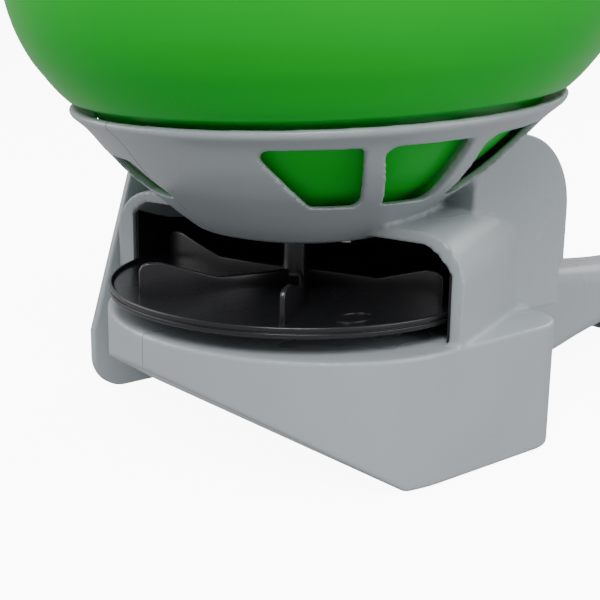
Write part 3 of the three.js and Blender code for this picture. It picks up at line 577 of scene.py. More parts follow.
@dataclass
class Finishes:
    """Every finish on the spreader, made once."""

    # Satin ABS from a lightly textured tool: soft wide highlights, even grey.
    shell: Moulding = Moulding("moulded_abs_grey_satin", "#9AA1A5", 0.3, grain_mm=0.45, grain_mm_deep=0.008)
    # Polypropylene from a polished tool: deep green with a clear, fairly sharp sheen.
    hopper: Moulding = Moulding("moulded_polypropylene_green_gloss", "#00A828", 0.3, polish=0.03, drift=0.02,
                                grain_mm=0.8, grain_mm_deep=0.003, ior=1.2)
    # Glass-filled nylon: near-black, half gloss, sharp grey glints along edges.
    spinner: Moulding = Moulding("moulded_nylon_black_half_gloss", "#1A1A1D", 0.27, polish=0.04, drift=0.15,
                                 grain_mm=0.6, grain_mm_deep=0.006)
    # Painted shade: a dull black polypropylene liner that stands in for the shade inside the chamber.
    shade_liner: Moulding = Moulding("black_liner_painted_shade", "#0C0C0D", 0.6, drift=0.2, grain_mm=0.6)
    # Black ABS with a fine spark-eroded texture: a grip that doesn't slip.
    grip: Moulding = Moulding("moulded_abs_black_textured", "#202024", 0.48, drift=0.12, grain_mm=0.7,
                              grain_mm_deep=0.03)
    # Natural nylon: ivory, waxy, faintly uneven.
    bearing: Moulding = Moulding("moulded_nylon_natural", "#DCD8CB", 0.42, polish=0.05, drift=0.05)
    # Zinc plate on steel: cool grey with pale spangle.
    steel: Plating = Plating("zinc_plated_steel", "#B9BCBF", 0.3)
    made: dict[str, bpy.types.Material] = field(default_factory=dict)

    def put(self, piece: bpy.types.Object, finish: Moulding | Plating) -> None:
        """Gives a piece one finish all over."""
        if finish.name not in self.made:
            self.made[finish.name] = finish.make()
        piece.data.materials.clear()
        piece.data.materials.append(self.made[finish.name])


@dataclass
class Stand:
    """Registers finished pieces with the frame."""

    finishes: Finishes
    frame: dict
    replaced: set[str] = field(default_factory=set)

    def show(self, piece: bpy.types.Object, body: str, finish: Moulding | Plating, slot: str,
             nodes: Sequence[str] = (), angle: float = 38.0) -> bpy.types.Object:
        """Smooths, dresses and mounts a piece.

        Args:
            piece: the finished mesh.
            body: the moving body that it rides on.
            finish: its material.
            slot: the record's material slot; not used.
            nodes: the plain solids that it stands for.
            angle: edges sharper than this stay sharp.

        Returns:
            The piece.
        """
        Bench.smooth(piece, angle)
        self.finishes.put(piece, finish)
        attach(piece, body)
        if nodes:
            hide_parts(*nodes)
            self.replaced.update(nodes)
        LOG.info("%s on %s: %d faces", piece.name, body, len(piece.data.polygons))
        return piece

    def dress_the_rest(self) -> None:
        """Gives every plain solid that stays its finish, by its slot in the record."""
        by_slot = {"body_plastic": self.finishes.shell, "hopper_plastic": self.finishes.hopper,
                   "black_plastic": self.finishes.grip, "bearing_nylon": self.finishes.bearing,
                   "bright_steel": self.finishes.steel}
        for part in self.frame["record"]["subparts"]:
            if part["node"] not in self.replaced:
                self.finishes.put(self.frame["nodes"][part["node"]], by_slot[part["material_slot"]])


# ------------------------------------------------------------------ body


@dataclass
class Bowl:
    """The lean that the cradle and the hopper share: sections shift back and tip as they rise to the rim."""

    floor: float = 69.5
    rim: float = 115.0
    shift: float = 8.0
    slope: float = 0.065

    def at(self, x: float, y: float, z: float) -> Vector:
        """Where a point of the upright bowl goes."""
        share = min(max((z - self.floor) / (self.rim - self.floor), 0.0), 1.0)
        return Vector((x, y + self.shift * share, z + self.slope * share * y))

    def lean(self, piece: bpy.types.Object) -> bpy.types.Object:
        """Leans a whole upright mesh."""
        for vertex in piece.data.vertices:
            vertex.co = self.at(*(vertex.co / MM)) * MM
        return piece


@dataclass
class BodyShell:
    """The moulded body in two shells: base tub, hood, column, handle and the vented cradle."""

    stand: Stand
    bowl: Bowl
    wall: float = 2.5
    seam: float = 0.17
    left: float = 71.0
    right: float = 68.5
    nose: float = 63.0
    rear: float = 60.0
    corner: float = 14.0
    deck: float = 43.0
    deck_thick: float = 2.7
    edge: float = 5.0
    slope_start: float = -13.5
    slope: float = 0.635
    throw: float = 14.2
    hood_front: float = 6.0
    hood_rear: Pair = (52.0, 53.0)
    hood_tops: Pair = (77.0, 83.0)
    hood_roof: float = 4.0
    hood_skin: float = 1.6
    arch: float = 16.0
    room_arch: float = 21.0
    rear_round: float = 9.0
    column_front: float = 30.0
    column_rear: float = 79.0
    column_top: float = 103.0
    column_arc: float = 27.0
    chamber: float = 66.7
    axis_z: float = 21.5
    border: float = 2.7
    border_high: float = 1.2
    outer: tuple[Pair, ...] = (
        (26, 69.5), (35, 71.8), (42, 76.8), (52, 84.7), (60, 91), (68, 98.9), (76, 107.8), (81.4, 112.5))
    inner: tuple[Pair, ...] = (
        (25, 72), (33.6, 74.1), (40.4, 78.8), (50.4, 86.6), (58.3, 92.8), (66.2, 100.6), (74.1, 109.4), (79.4, 114))
    window_low: float = 86.5
    # Each window's two upright edges, as the angle at its top and at its bottom, and the height of its top.
    windows: tuple[tuple[Pair, Pair, float], ...] = (
        ((-54.5, -39), (-30, -22.5), 108), ((-25.5, -15), (-3, 4.5), 108), ((2, 12.5), (31, 22), 108),
        ((-118, -110), (-94, -88), 99.5), ((-150, -142), (-127, -119), 108), ((-178, -170), (-155, -150), 108))
    stations: tuple[tuple[float, float, float, float], ...] = (
        (50, 46, 2, 46), (66, 41, 2.4, 46), (80, 31, 2.6, 45), (95, 22, 2.8, 43.5), (112, 17, 3.4, 41.5),
        (130, 15, 5.4, 39.5), (150, 14, 8.6, 37.5), (175, 14, 11.6, 35.5), (200, 14.5, 9.5, 35), (230, 15, 7, 36),
        (255, 15, 6, 38), (272, 14, 7, 39.5), (282, 9.5, 12.5, 35))
    screws: tuple[Pair, ...] = ((-46, 32.5), (49, 12), (73.5, 86), (136, 24), (232, 21), (262, 22))
    cover_screws: tuple[Pair, ...] = ((-27, 17), (36, 10), (56, 84))

    def tub_outline(self, inset: float) -> list[Pair]:
        """Plan of the base tub, drawn in by `inset`."""
        size = self.corner - inset
        front = [(math.cos(turn(a)), math.sin(turn(a))) for a in range(180, 361, 4)]
        return (arc((self.left - self.corner, self.rear - self.corner), size, 0, 90)
                + arc((self.corner - self.right, self.rear - self.corner), size, 90, 180)
                + [(c * ((self.right if c < 0 else self.left) - inset), s * (self.nose - inset)) for c, s in front])

    def tub(self, inset: float, low: float, high: float, edge: float, lift: float) -> bpy.types.Object:
        """A block with the tub's plan and sloping underside.

        Args:
            inset: how far it's drawn in.
            low: its underside.
            high: its top.
            edge: radius of its edges, or 0.
            lift: how far the sloping underside is raised.

        Returns:
            The closed solid.
        """
        piece = Bench.prism("tub", self.tub_outline(inset), Facing.PLAN, low, high)
        start = self.slope_start + lift / math.sin(math.atan(self.slope))
        with Bench.editing(piece):
            bpy.ops.mesh.bisect(plane_co=(0, start * MM, 0), plane_no=(0, self.slope, 1), use_fill=True,
                                clear_inner=True)
            Bench.outward()
            if edge:
                Bench.soften(edge, 5, 25)
        middle = self.rear - self.rear_round
        corner = Bench.combine(
            Bench.block((-150, middle, -1), (150, self.rear + 1, self.rear_round)), Cut.OFF,
            Bench.bar(middle, self.rear_round, self.rear_round - lift, -160, 160, facets=96))
        return Bench.combine(piece, Cut.OFF, corner)

    def arch_ring(self, left: Vector, right: Vector, bottom: float, top: float, radius: float) -> Ring:
        """An arch between two feet."""
        across = (right - left).normalized()
        steps = 12
        rise = [(1 - math.cos(math.pi / 2 * i / steps), math.sin(math.pi / 2 * i / steps)) for i in range(steps + 1)]
        ring = [Vector((left.x, left.y, bottom))]
        for run, up in rise:
            spot = left + across * radius * run
            ring.append(Vector((spot.x, spot.y, top - radius + radius * up)))
        for run, up in reversed(rise):
            spot = right - across * radius * run
            ring.append(Vector((spot.x, spot.y, top - radius + radius * up)))
        ring.append(Vector((right.x, right.y, bottom)))
        return ring

    def hood(self, inset: float, roof: float, ahead: float, radius: float) -> bpy.types.Object:
        """The hood from `ahead` of its front plane to the rear of the column.

        Args:
            inset: how far its sides are drawn in.
            roof: how far its top is lowered.
            ahead: how far it goes on in front.
            radius: radius of its two upper corners.

        Returns:
            The closed solid.
        """
        slant = math.tan(turn(self.throw))
        rear_x, rear_y = self.hood_rear
        taper = (self.left - rear_x) / (rear_y - self.hood_front)
        front_x, front_top = self.left + ahead * taper, self.hood_tops[0]
        rows = [(self.hood_front - ahead, front_x, front_top), (rear_y, rear_x, self.hood_tops[1]),
                (self.column_rear - self.wall, rear_x, self.hood_tops[1])]
        bottom = self.deck - self.deck_thick / 2 + (self.deck_thick / 2 if inset else 0)
        rings = []
        for y, x, top in rows:
            left = Vector((x - inset, y, 0))
            right = Vector((inset - self.right, y - (x + self.right) * slant, 0))
            rings.append(self.arch_ring(left, right, bottom, top - roof, radius))
        return Bench.loft("hood", rings)

    def column(self, inset: float, x0: float, x1: float, edge: float = 0.0) -> bpy.types.Object:
        """The column behind the hood, drawn in by `inset`."""
        rear, low = self.column_rear - inset, self.deck - self.deck_thick / 2
        foot = fillet([(self.column_front + inset, low), (53 + inset, low), (59 + inset / 2, 51 + inset),
                       (rear, 56 + inset / 2), (rear, 76)], [0, 2, 5, 3, 0])
        curve = arc((self.column_rear - self.column_arc, self.column_top - self.column_arc),
                    self.column_arc - inset, 0, 90, 16)
        outline = foot[:-1] + curve + [(self.column_front + inset, self.column_top - inset)]
        return Bench.prism("column", outline, Facing.SIDE, x0, x1, edge)

    def gusset(self, inset: float, edge: float = 0.0) -> bpy.types.Object:
        """The sloping web between column and handle."""
        slope = (106 - 42) / (124 - 76)
        drop = inset * math.hypot(1, slope)
        outline = [(62, 12 + inset), (112, 12 + inset), (124 - inset, 30), (124 - inset, 42 - drop + inset * slope),
                   (76, 106 - drop), (62, 106 - drop)]
        return Bench.prism("gusset", outline, Facing.SIDE, inset - 14, 14 - inset, edge)

    def handle(self, inset: float) -> bpy.types.Object:
        """The handle, a rounded box section carried along its stations."""
        rows = []
        spans = list(zip(*[spline([(row[0], row[k]) for row in self.stations], 4) for k in (1, 2, 3)]))
        for i, ((y, half), (_, low), (_, high)) in enumerate(spans):
            end = inset if i == len(spans) - 1 else 0
            half, low, high = half - inset, low + inset, high - inset
            tall = (high - low) / 2
            radius = min(5.0 + max(0.0, y - 120) * 0.06, tall * 0.72, half * 0.72)
            ring = []
            for sx, sz, start in ((1, 1, 0), (-1, 1, 90), (-1, -1, 180), (1, -1, 270)):
                for k in range(9):
                    a = turn(start + k * 90 / 8)
                    ring.append(Vector((sx * (half - radius) + radius * math.cos(a), y - end,
                                        (low + high) / 2 + sz * (tall - radius) + radius * math.sin(a))))
            rows.append(ring)
        if not inset:
            last = rows[-1]
            middle = sum(last, Vector()) / len(last)
            for share, out in ((0.93, 1.6), (0.8, 2.5), (0.55, 2.9)):
                rows.append([middle + (p - middle) * share + Vector((0, out, 0)) for p in last])
        return Bench.loft("handle", rows)

    def room(self, inset: float) -> bpy.types.Object:
        """The room under the hood, drawn in by `inset`."""
        hood = self.hood(self.hood_skin + inset, self.hood_roof + inset, 20, self.room_arch - inset)
        return Bench.combine(hood, Cut.ON, Bench.block(
            (self.wall - self.right + inset, 40, self.deck),
            (self.hood_rear[0] - self.wall - inset, 70, self.hood_tops[0] - self.hood_roof - inset)))

    def chamber_space(self) -> bpy.types.Object:
        """The space the impeller turns in."""
        top = self.hood_tops[0] - self.hood_roof
        return Bench.combine(Bench.post(0, 0, self.chamber, self.deck, top, facets=192), Cut.SHARED, self.room(0))

    def cavity(self) -> bpy.types.Object:
        """The hollow inside the tub, the column and the handle."""
        low = Bench.combine(self.tub(self.wall, self.wall, self.deck - self.deck_thick, 0, self.wall),
                            Cut.ON, self.handle(self.wall))
        hood = Bench.combine(self.hood(0, -1, 0, self.arch), Cut.SHARED,
                             Bench.block((-200, -100, 0), (200, self.hood_rear[1] + 4, 200)))
        column = Bench.combine(self.column(self.wall, self.wall - self.right, self.hood_rear[0] - self.wall),
                               Cut.OFF, hood)
        upper = Bench.combine(column, Cut.ON, self.gusset(self.wall))
        shell = Bench.post(0, 0, self.chamber + self.wall, self.deck - self.deck_thick,
                           self.hood_tops[0] - self.hood_roof + self.wall, facets=96)
        return Bench.combine(low, Cut.ON, Bench.combine(upper, Cut.OFF, shell))

    def pillars(self) -> list[bpy.types.Object]:
        """The screw pillars, shaft pedestal and pivot bosses inside the shells."""
        side_in = self.wall / 2
        made = [Bench.bar(y, z, 4.2, side_in - self.right, (self.left if y < 70 else 50) - side_in)
                for y, z in self.screws[:2]]
        made.append(Bench.bar(*self.screws[2], 4.2, side_in - self.right, self.hood_rear[0] - side_in))
        made += [Bench.bar(y, z, 4.2, -13, 13) for y, z in self.screws[3:]]
        made += [Bench.block((-22, -11, side_in), (-17, 11, 31)), Bench.post(0, 0, 6.9, side_in, 10),
                 Bench.bar(80, 46, 4, -20, 20), Bench.bar(166, 18, 4.6, -13, 13)]
        made += [Bench.bar(y, z, 3.6, 0.5 - self.right, 9 - self.right) for y, z in self.cover_screws]
        return made

    def skin_radius(self, z: float) -> float:
        """Radius of the cradle's skin at the height of the windows."""
        return 54 + (z - self.window_low) * (76 - 54) / (108 - self.window_low)

    def window(self, edges: tuple[Pair, Pair, float], grow: float) -> bpy.types.Object:
        """A cutter for one window, its outline grown by `grow`."""
        (top_a, low_a), (top_b, low_b), high_z = edges
        low_z = self.window_low
        middle = turn((top_a + low_a + top_b + low_b) / 4)
        corners = [Vector(((turn(a) - middle) * self.skin_radius(z), z)) for a, z in
                   ((top_a, high_z), (low_a, low_z), (low_b, low_z), (top_b, high_z))]
        grown = []
        for i, corner in enumerate(corners):
            before = (corner - corners[i - 1]).normalized()
            after = (corners[(i + 1) % 4] - corner).normalized()
            out_a, out_b = Vector((before.y, -before.x)), Vector((after.y, -after.x))
            grown.append(tuple(corner - (out_a + out_b) * (grow / (1 + out_a.dot(out_b)))))
        outline = [(middle + across / self.skin_radius(z), z)
                   for across, z in refined(fillet(grown, 2.2 + grow, 6), 2.5)]
        return Bench.loft("window", [
            [self.bowl.at(r * math.cos(a), r * math.sin(a), z) for a, z in outline] for r in range(44, 97, 6)])

    def cradle(self) -> bpy.types.Object:
        """The bowl that holds the hopper, with a raised border round each window."""
        skin = [self.outer[0]] + spline(self.outer[1:], 5)
        rim = [(82, 113.6), (81.9, 114.5), (81.2, 115)]
        solid = self.bowl.lean(Bench.turned("cradle", [(0, self.bowl.floor), *skin, *rim, (0, 115)], 168))
        proud = self.border_high
        raised = [(r + proud * 0.65, z - proud * 0.76) for r, z in skin if z > 76]
        for edges in self.windows:
            ridge = self.bowl.lean(Bench.turned("ridge", [(34, 84), *raised, (60, 112)], 168))
            Bench.combine(ridge, Cut.SHARED, self.window(edges, self.border))
            Bench.combine(solid, Cut.ON, ridge)
        return solid

    def hollow(self) -> bpy.types.Object:
        """The inside of the cradle."""
        skin = [self.inner[0]] + spline(self.inner[1:], 5)
        return self.bowl.lean(Bench.turned(
            "hollow", [(0, self.bowl.floor + self.wall), *skin, (79.5, 114.5), (79.5, 150), (0, 150)], 168))

    def passages(self) -> list[bpy.types.Object]:
        """Every hole that a shaft, gear, gate, screw or pin passes through."""
        made = [
            Bench.post(0, 0, 3.0, 2.5, 70.5), Bench.post(0, 0, 4.4, -1, 11), Bench.post(0, 0, 7.3, -1, 1.6),
            Bench.post(0, 0, 4.4, 68.5, 73), Bench.bar(0, self.axis_z, 6.9, -self.right - 1, -16),
            Bench.bar(0, self.axis_z, 18.8, -16.99, -3.6, facets=96), Bench.post(0, 0, 7.8, 25.5, 40.3),
            Bench.block((-8, 14, 68.5), (8, 21, 73.5)), Bench.block((-10.8, 20, 74.4), (10.8, 60, 77.8)),
            Bench.block((-5.3, 60, 74.4), (5.3, 72, 77.8)), Bench.block((-6, 158, -1), (6, 224, 18)),
            Bench.block((-7, 60, 70), (7, 94, 80.2)), Bench.block((-11.8, 157, 12), (5.8, 175, 33)),
            Bench.prism("swing", link((84, 76.1), 7, (78, 30), 7), Facing.SIDE, -2.5, 2.5),
            Bench.bar(80, 46, 2.3, -18, 18), Bench.bar(166, 18, 2.3, -11.4, 11.4),
        ]
        for y, z in self.screws:
            made += [Bench.bar(y, z, 3.3, -self.right - 10, -8), Bench.bar(y, z, 1.8, -9, 11)]
        made += [Bench.bar(y, z, 1.8, -self.right - 10, 7.5 - self.right) for y, z in self.cover_screws]
        made += [Bench.post(x, 6, 1.8, 68.5, 73) for x in (18, -18)]
        return made

    def build(self) -> None:
        """Builds the whole body, gives it moulded radii, and parts it into its two shells."""
        body = self.tub(0, 0, self.deck, self.edge, 0)
        Bench.combine(body, Cut.ON, self.hood(0, 0, 0, self.arch), self.column(0, -self.right, self.hood_rear[0], 1.2),
                      self.handle(0), self.gusset(0, 1.5))
        room = self.chamber_space()
        inside = Bench.combine(Bench.copied(body, "inside"), Cut.OFF, Bench.copied(room, "room_again"))
        Bench.combine(body, Cut.OFF, room, self.cavity())
        for pillar in self.pillars():
            Bench.combine(body, Cut.ON, Bench.combine(pillar, Cut.SHARED, Bench.copied(inside, "inside_again")))
        bpy.data.objects.remove(inside)
        Bench.combine(body, Cut.ON, self.cradle())
        Bench.combine(body, Cut.OFF, self.hollow(), *[self.window(edges, 0) for edges in self.windows],
                      *self.passages())
        Bench.combine(body, Cut.OFF, Bench.moved(Bench.post(0, 0, 3.3, -8, 8), "stem", DIAL_PLACE))
        Bench.moulded(body, 0.7, 4, 0.28)
        for name, side in (("shell_left", 1), ("shell_right", -1)):
            low, high = sorted((side * self.seam, side * 300))
            half = Bench.combine(Bench.copied(body, name), Cut.SHARED,
                                 Bench.block((low, -300, -300), (high, 400, 400)))
            node = "housing_left" if side > 0 else "housing_right"
            self.stand.show(half, "body", self.stand.finishes.shell, "body_plastic", [node])
        bpy.data.objects.remove(body)


@dataclass
class Chamber:
    """The black liner round the impeller: painted shade that darkens the chamber under the hood."""

    stand: Stand
    body: BodyShell
    radius: float = 66.4
    thick: float = 1.2
    # Painted shade: raised above the frame's liner so the room under the arch renders black.
    top: float = 72.6

    def build(self) -> None:
        """A thin black wall behind the hood's front plane, carried up and trimmed to the arch as painted shade for the
        chamber's roof.
        """
        wall = Bench.turned("chamber_painted_shade_wall", [
            (self.radius - self.thick, 43.3), (self.radius, 43.3), (self.radius, self.top),
            (self.radius - self.thick, self.top)], 192)
        Bench.combine(wall, Cut.SHARED, self.body.room(0.3))
        front = Matrix.Translation((self.body.left, self.body.hood_front, 0)) @ Matrix.Rotation(
            turn(self.body.throw), 4, "Z")
        Bench.combine(wall, Cut.SHARED, Bench.moved(Bench.block((-300, 1.5, 0), (300, 300, 200)), "behind", front))
        # Painted shade: the black finish stands in for the shade inside the chamber.
        self.stand.show(wall, "body", self.stand.finishes.shade_liner, "black_plastic", ["chamber_liner"])


@dataclass
class Hopper:
    """The green hopper: a leaning bowl with a shoulder over the cradle's rim and a rolled mouth."""

    stand: Stand
    bowl: Bowl
    wall: float = 2.0
    top: float = 207.0
    floor: float = 78.5
    mouth: float = 106.0
    lip: float = 3.5
    low: tuple[Pair, ...] = ((40, 81.4), (50, 89.3), (58, 95.6), (66, 103.5), (76.1, 115))
    high: tuple[Pair, ...] = ((82.8, 117.8), (86, 121), (90, 126), (94.5, 132.5), (99, 142.5), (102, 156),
                              (104, 180), (105.4, 202))

    def build(self) -> None:
        """Spins the wall as one closed section, leans it, and cuts its outlet."""
        outer = [(34, self.floor)] + spline(self.low, 5) + [(81.2, 117.2)] + spline(self.high, 6)
        edge = self.mouth + self.lip
        roll = fillet([(edge, self.top - 4.5), (edge, self.top), (self.mouth - 2.2, self.top)], [1.2, 1.6, 0.8], 5)
        inner = [(r - self.wall, z + self.wall * 0.7) for r, z in
                 reversed(spline(self.low, 5) + spline(self.high[:1] + self.high[2:3] + self.high[4:], 6))]
        section = ([(0, self.floor)] + outer + [(self.mouth - 0.2, self.top - 4.6)] + roll
                   + inner + [(33.5, self.floor + self.wall), (0, self.floor + self.wall)])
        skin = self.bowl.lean(Bench.turned("hopper_skin", section, 192))
        Bench.combine(skin, Cut.ON, *[Bench.post(x, 6, 3.6, 72.3, 79.5) for x in (18, -18)])
        Bench.combine(skin, Cut.OFF, Bench.post(0, 0, 3.3, 77, 84), Bench.block((-8, 14, 76), (8, 21, 85)),
                      *[Bench.post(x, 6, 1.8, 69, 78) for x in (18, -18)])
        self.stand.show(skin, "body", self.stand.finishes.hopper, "hopper_plastic", ["hopper"], 50)


# ------------------------------------------------------------------ spinner


@dataclass
class Impeller:
    """The disc that throws the granules, with six swept fins."""

    stand: Stand
    radius: float = 64.0
    top: float = 51.0
    thick: float = 2.2
    lip: float = 1.4
    fins: int = 6
    first: float = -44.5
    sweep: float = 14.0
    fin_out: float = 56.5
    fin_flat: float = 7.0
    fin_ramp: float = 19.0
    fin_thick: float = 1.6
    fin_low: float = 5.0
    fin_high: float = 11.0
    hub: float = 5.0

    def fin(self, start: float) -> bpy.types.Object:
        """One fin: a thin upright plate with rounded corners, swept forward towards the hub."""
        under = self.top - self.thick / 2
        low, high = self.top + self.fin_low, self.top + self.fin_high
        ramp_top = self.fin_out - self.fin_flat
        outline = fillet([(3.5, under), (self.fin_out, under), (self.fin_out, high), (ramp_top, high),
                          (ramp_top - self.fin_ramp, low), (3.5, low)], [0, 0, 3.2, 5, 9, 0], 7)
        plate = Bench.prism("fin", outline, Facing.SIDE, -self.fin_thick / 2, self.fin_thick / 2)
        with Bench.editing(plate):
            Bench.pick("EDGE", lambda spot, way: abs(way.x) < 0.1 and spot.z > self.top + 0.2)
            bpy.ops.mesh.bevel(offset=0.5 * MM, segments=3, profile=0.5, affect="EDGES")
            for distance in range(6, 58, 3):
                bpy.ops.mesh.select_all(action="SELECT")
                bpy.ops.mesh.bisect(plane_co=(0, distance * MM, 0), plane_no=(0, 1, 0))
        for vertex in plate.data.vertices:
            x, y, z = vertex.co / MM
            a = turn(start) + turn(self.sweep) * (1 - y / self.fin_out)
            vertex.co = Vector((y * math.cos(a) + x * math.sin(a), y * math.sin(a) - x * math.cos(a), z)) * MM
        return plate

    def build(self) -> None:
        """Spins the disc and hub, then adds the fins and the moulded mark."""
        under, out = self.top - self.thick, self.radius
        profile = fillet([
            (2.8, under - 2.5), (self.hub + 3, under - 2.5), (self.hub + 4, under), (out, under), (out, under + 1.5),
            (out - 0.5, under + 1.7), (out - 0.5, under + 2.0), (out, under + 2.2), (out, self.top + self.lip),
            (out - 1.0, self.top + self.lip), (out - 1.7, self.top), (self.hub + 3, self.top),
            (self.hub, self.top + 3), (self.hub, 68.7), (2.8, 68.7)],
            [0, 0.5, 0.5, 0.6, 0.25, 0.1, 0.1, 0.25, 0.45, 0.45, 0.8, 1, 2.4, 0.5, 0], 4)
        disc = Bench.turned("spinner_disc", profile, 192)
        blades = [self.fin(self.first + i * 360 / self.fins) for i in range(self.fins)]
        mark = Bench.turned("gate_mark", fillet([(4.1, 50.8), (4.9, 50.8), (4.9, 51.25), (4.1, 51.25)], 0.15, 2), 40)
        ring = Bench.moved(mark, "ring_mark", Matrix.Translation((47, -16.5, 0)) @ Matrix.Diagonal((1, 1.5, 1, 1)))
        disc = Bench.joined("spinner_disc", [disc, *blades, ring])
        self.stand.show(disc, "spinner", self.stand.finishes.spinner, "black_plastic", ["impeller"], 40)


# ------------------------------------------------------------------ crank side


@dataclass
class Screw:
    """A pan-head screw with a cross recess, lying along X with its head towards -X."""

    head: float = 3.0
    high: float = 1.8
    shank: float = 1.5

    def make(self, name: str, y: float, z: float, seat: float, tip: float) -> bpy.types.Object:
        """One screw from its seat to its tip."""
        dome = [(self.head * math.cos(turn(a)), 0.5 + (self.high - 0.5) * math.sin(turn(a))) for a in range(0, 91, 10)]
        profile = [(0, seat - tip), (self.shank - 0.5, seat - tip), (self.shank, seat - tip + 0.7), (self.shank, 0),
                   (self.head - 0.2, 0), (self.head, 0.2), *dome[:-1], (0, self.high)]
        body = Bench.turned("screw", profile, 36)
        for width, long in ((0.42, 1.75), (1.75, 0.42)):
            Bench.combine(body, Cut.OFF, Bench.block((-width, -long, self.high - 1.1), (width, long, self.high + 1)))
        place = Matrix.Translation((seat, y, z)) @ Matrix.Rotation(-math.pi / 2, 4, "Y") @ Matrix.Rotation(
            turn(20), 4, "Z")
        return Bench.moved(body, name, place)


@dataclass
class CrankSide:
    """The gear cover, the crank and its knob, and every screw driven from this side."""

    stand: Stand
    body: BodyShell
    gap: float = 0.3
    thick: float = 3.7
    boss: float = 2.0
    arm_gap: float = 3.4
    arm_thick: float = 8.0
    length: float = 58.0
    knob: float = 11.0
    knob_long: float = 34.0

    @property
    def inner(self) -> float:
        """X of the cover's inner face."""
        return -self.body.right - self.gap

    @property
    def outer(self) -> float:
        """X of the cover's outer face."""
        return self.inner - self.thick

    @property
    def arm_back(self) -> float:
        """X of the crank arm's inner face."""
        return self.outer - self.boss - self.arm_gap

    @property
    def arm_face(self) -> float:
        """X of the crank arm's outer face."""
        return self.arm_back - self.arm_thick

    def cover_outline(self, inset: float) -> list[Pair]:
        """Side outline of the gear cover."""
        front, low, size, rear = -40.0, 0.6, 13.0, self.body.rear
        corner = self.body.corner
        points = (arc((front + size, low + size), size - inset, 180, 270)
                  + arc((rear - corner, low + size), size - inset, -90, 0)
                  + [(rear - inset, 43 + inset * 0.4), (79 - inset, 56 + inset * 0.4)]
                  + arc((52, 76), 27 - inset, 0, 90)
                  + [(44 + inset, 103 - inset), (25 + inset * 0.6, 88 - inset), (-20.5 + inset * 0.6, 88 - inset),
                     (front + inset, 24 - inset * 0.2)])
        return points

    def cover(self) -> None:
        """The cover plate: a soft-edged plate with a sunk panel and a round bearing boss."""
        plate = Bench.prism("cover", self.cover_outline(0), Facing.SIDE, self.outer, self.inner, 0.9, 4)
        panel = Bench.prism("panel", self.cover_outline(6), Facing.SIDE, self.outer - 2, self.outer + 0.7)
        Bench.combine(plate, Cut.OFF, panel)
        z = self.body.axis_z
        for y, height in self.body.cover_screws:
            Bench.combine(plate, Cut.ON, Bench.bar(y, height, 5.2, self.outer, self.inner - 0.5, 0.3))
        for radius, proud in ((17.5, 0.9), (14.0, self.boss)):
            Bench.combine(plate, Cut.ON, Bench.bar(0, z, radius, self.outer - proud, self.inner - 0.5, 0.6, 96))
        Bench.combine(plate, Cut.OFF, Bench.bar(0, z, 6.9, self.outer - 6, self.inner + 1, facets=64))
        for y, height in self.body.cover_screws:
            Bench.combine(plate, Cut.OFF, Bench.bar(y, height, 1.8, self.outer - 6, self.inner + 1))
        plate.name = "side_cover"
        self.stand.show(plate, "body", self.stand.finishes.shell, "body_plastic", ["gear_cover"], 30)

    def arm(self) -> None:
        """The crank arm: a tapering bar with a sunk web and a round hub."""
        z = self.body.axis_z
        outline = link((0, z), 10, (self.length, z), 7.5)
        bar = Bench.prism("arm", outline, Facing.SIDE, self.arm_face, self.arm_back, 1.8, 5)
        web = Bench.prism("web", link((17, z), 4.6, (44, z), 3.4), Facing.SIDE, self.arm_face - 2,
                          self.arm_face + 1.4, 0)
        Bench.combine(bar, Cut.OFF, web)
        Bench.combine(bar, Cut.ON, Bench.bar(0, z, 11, self.arm_face - 1.5, self.arm_back, 0.9, 80))
        Bench.combine(bar, Cut.OFF, Bench.bar(0, z, 4.3, self.arm_face + 1.7, self.arm_back + 1),
                      Bench.bar(0, z, 1.8, self.arm_face - 3, self.arm_back),
                      Bench.bar(self.length, z, 3.3, self.arm_face - 1, self.arm_back + 1))
        bar.name = "crank_bar"
        self.stand.show(bar, "crank", self.stand.finishes.shell, "body_plastic", ["crank_arm"], 30)

    def grip(self) -> None:
        """The knob, a waisted barrel with shallow flutes, and its end cap."""
        start, z, long, wide = self.arm_face - 0.6, self.body.axis_z, self.knob_long, self.knob
        outer = spline([(wide - 3.6, 0.4), (wide - 2.9, 2.2), (wide - 2.9, 6), (wide - 0.7, 13), (wide, 20),
                        (wide - 0.4, 26), (wide - 2.4, 31.4), (wide - 4.2, long - 0.1)], 5)
        profile = [(3.2, 0), (wide - 4, 0), *outer, (6.4, long), (6, long - 0.5), (6, long - 4), (3.2, long - 4)]
        barrel = Bench.turned("barrel", profile, 120)
        flutes = []
        for i in range(12):
            a = i * math.pi / 6
            groove = Bench.turned("flute", [(0, 8), (0.6, 8.4), (1.3, 14), (1.5, 20), (1.3, 26), (0.6, 29.6),
                                            (0, 30)], 16)
            flutes.append(Bench.moved(groove, f"flute_{i}", Matrix.Translation(
                ((wide + 0.75) * math.cos(a), (wide + 0.75) * math.sin(a), 0))))
        Bench.combine(barrel, Cut.OFF, *flutes)
        place = Matrix.Translation((start, self.length, z)) @ Matrix.Rotation(-math.pi / 2, 4, "Y")
        knob = Bench.moved(barrel, "knob_barrel", place)
        self.stand.show(knob, "knob", self.stand.finishes.grip, "black_plastic", ["crank_knob"], 35)
        cap = Bench.turned("cap", fillet([
            (0, long - 3.7), (5.6, long - 3.7), (5.6, long - 0.2), (4.2, long + 0.9), (0, long + 1)],
            [0, 0.3, 0.8, 1, 0], 5), 64)
        Bench.combine(cap, Cut.OFF, Bench.post(0, 0, 3.3, long - 5, long - 1.1))
        button = Bench.moved(cap, "knob_end_cap", place)
        self.stand.show(button, "crank", self.stand.finishes.spinner, "black_plastic", ["knob_cap"], 35)

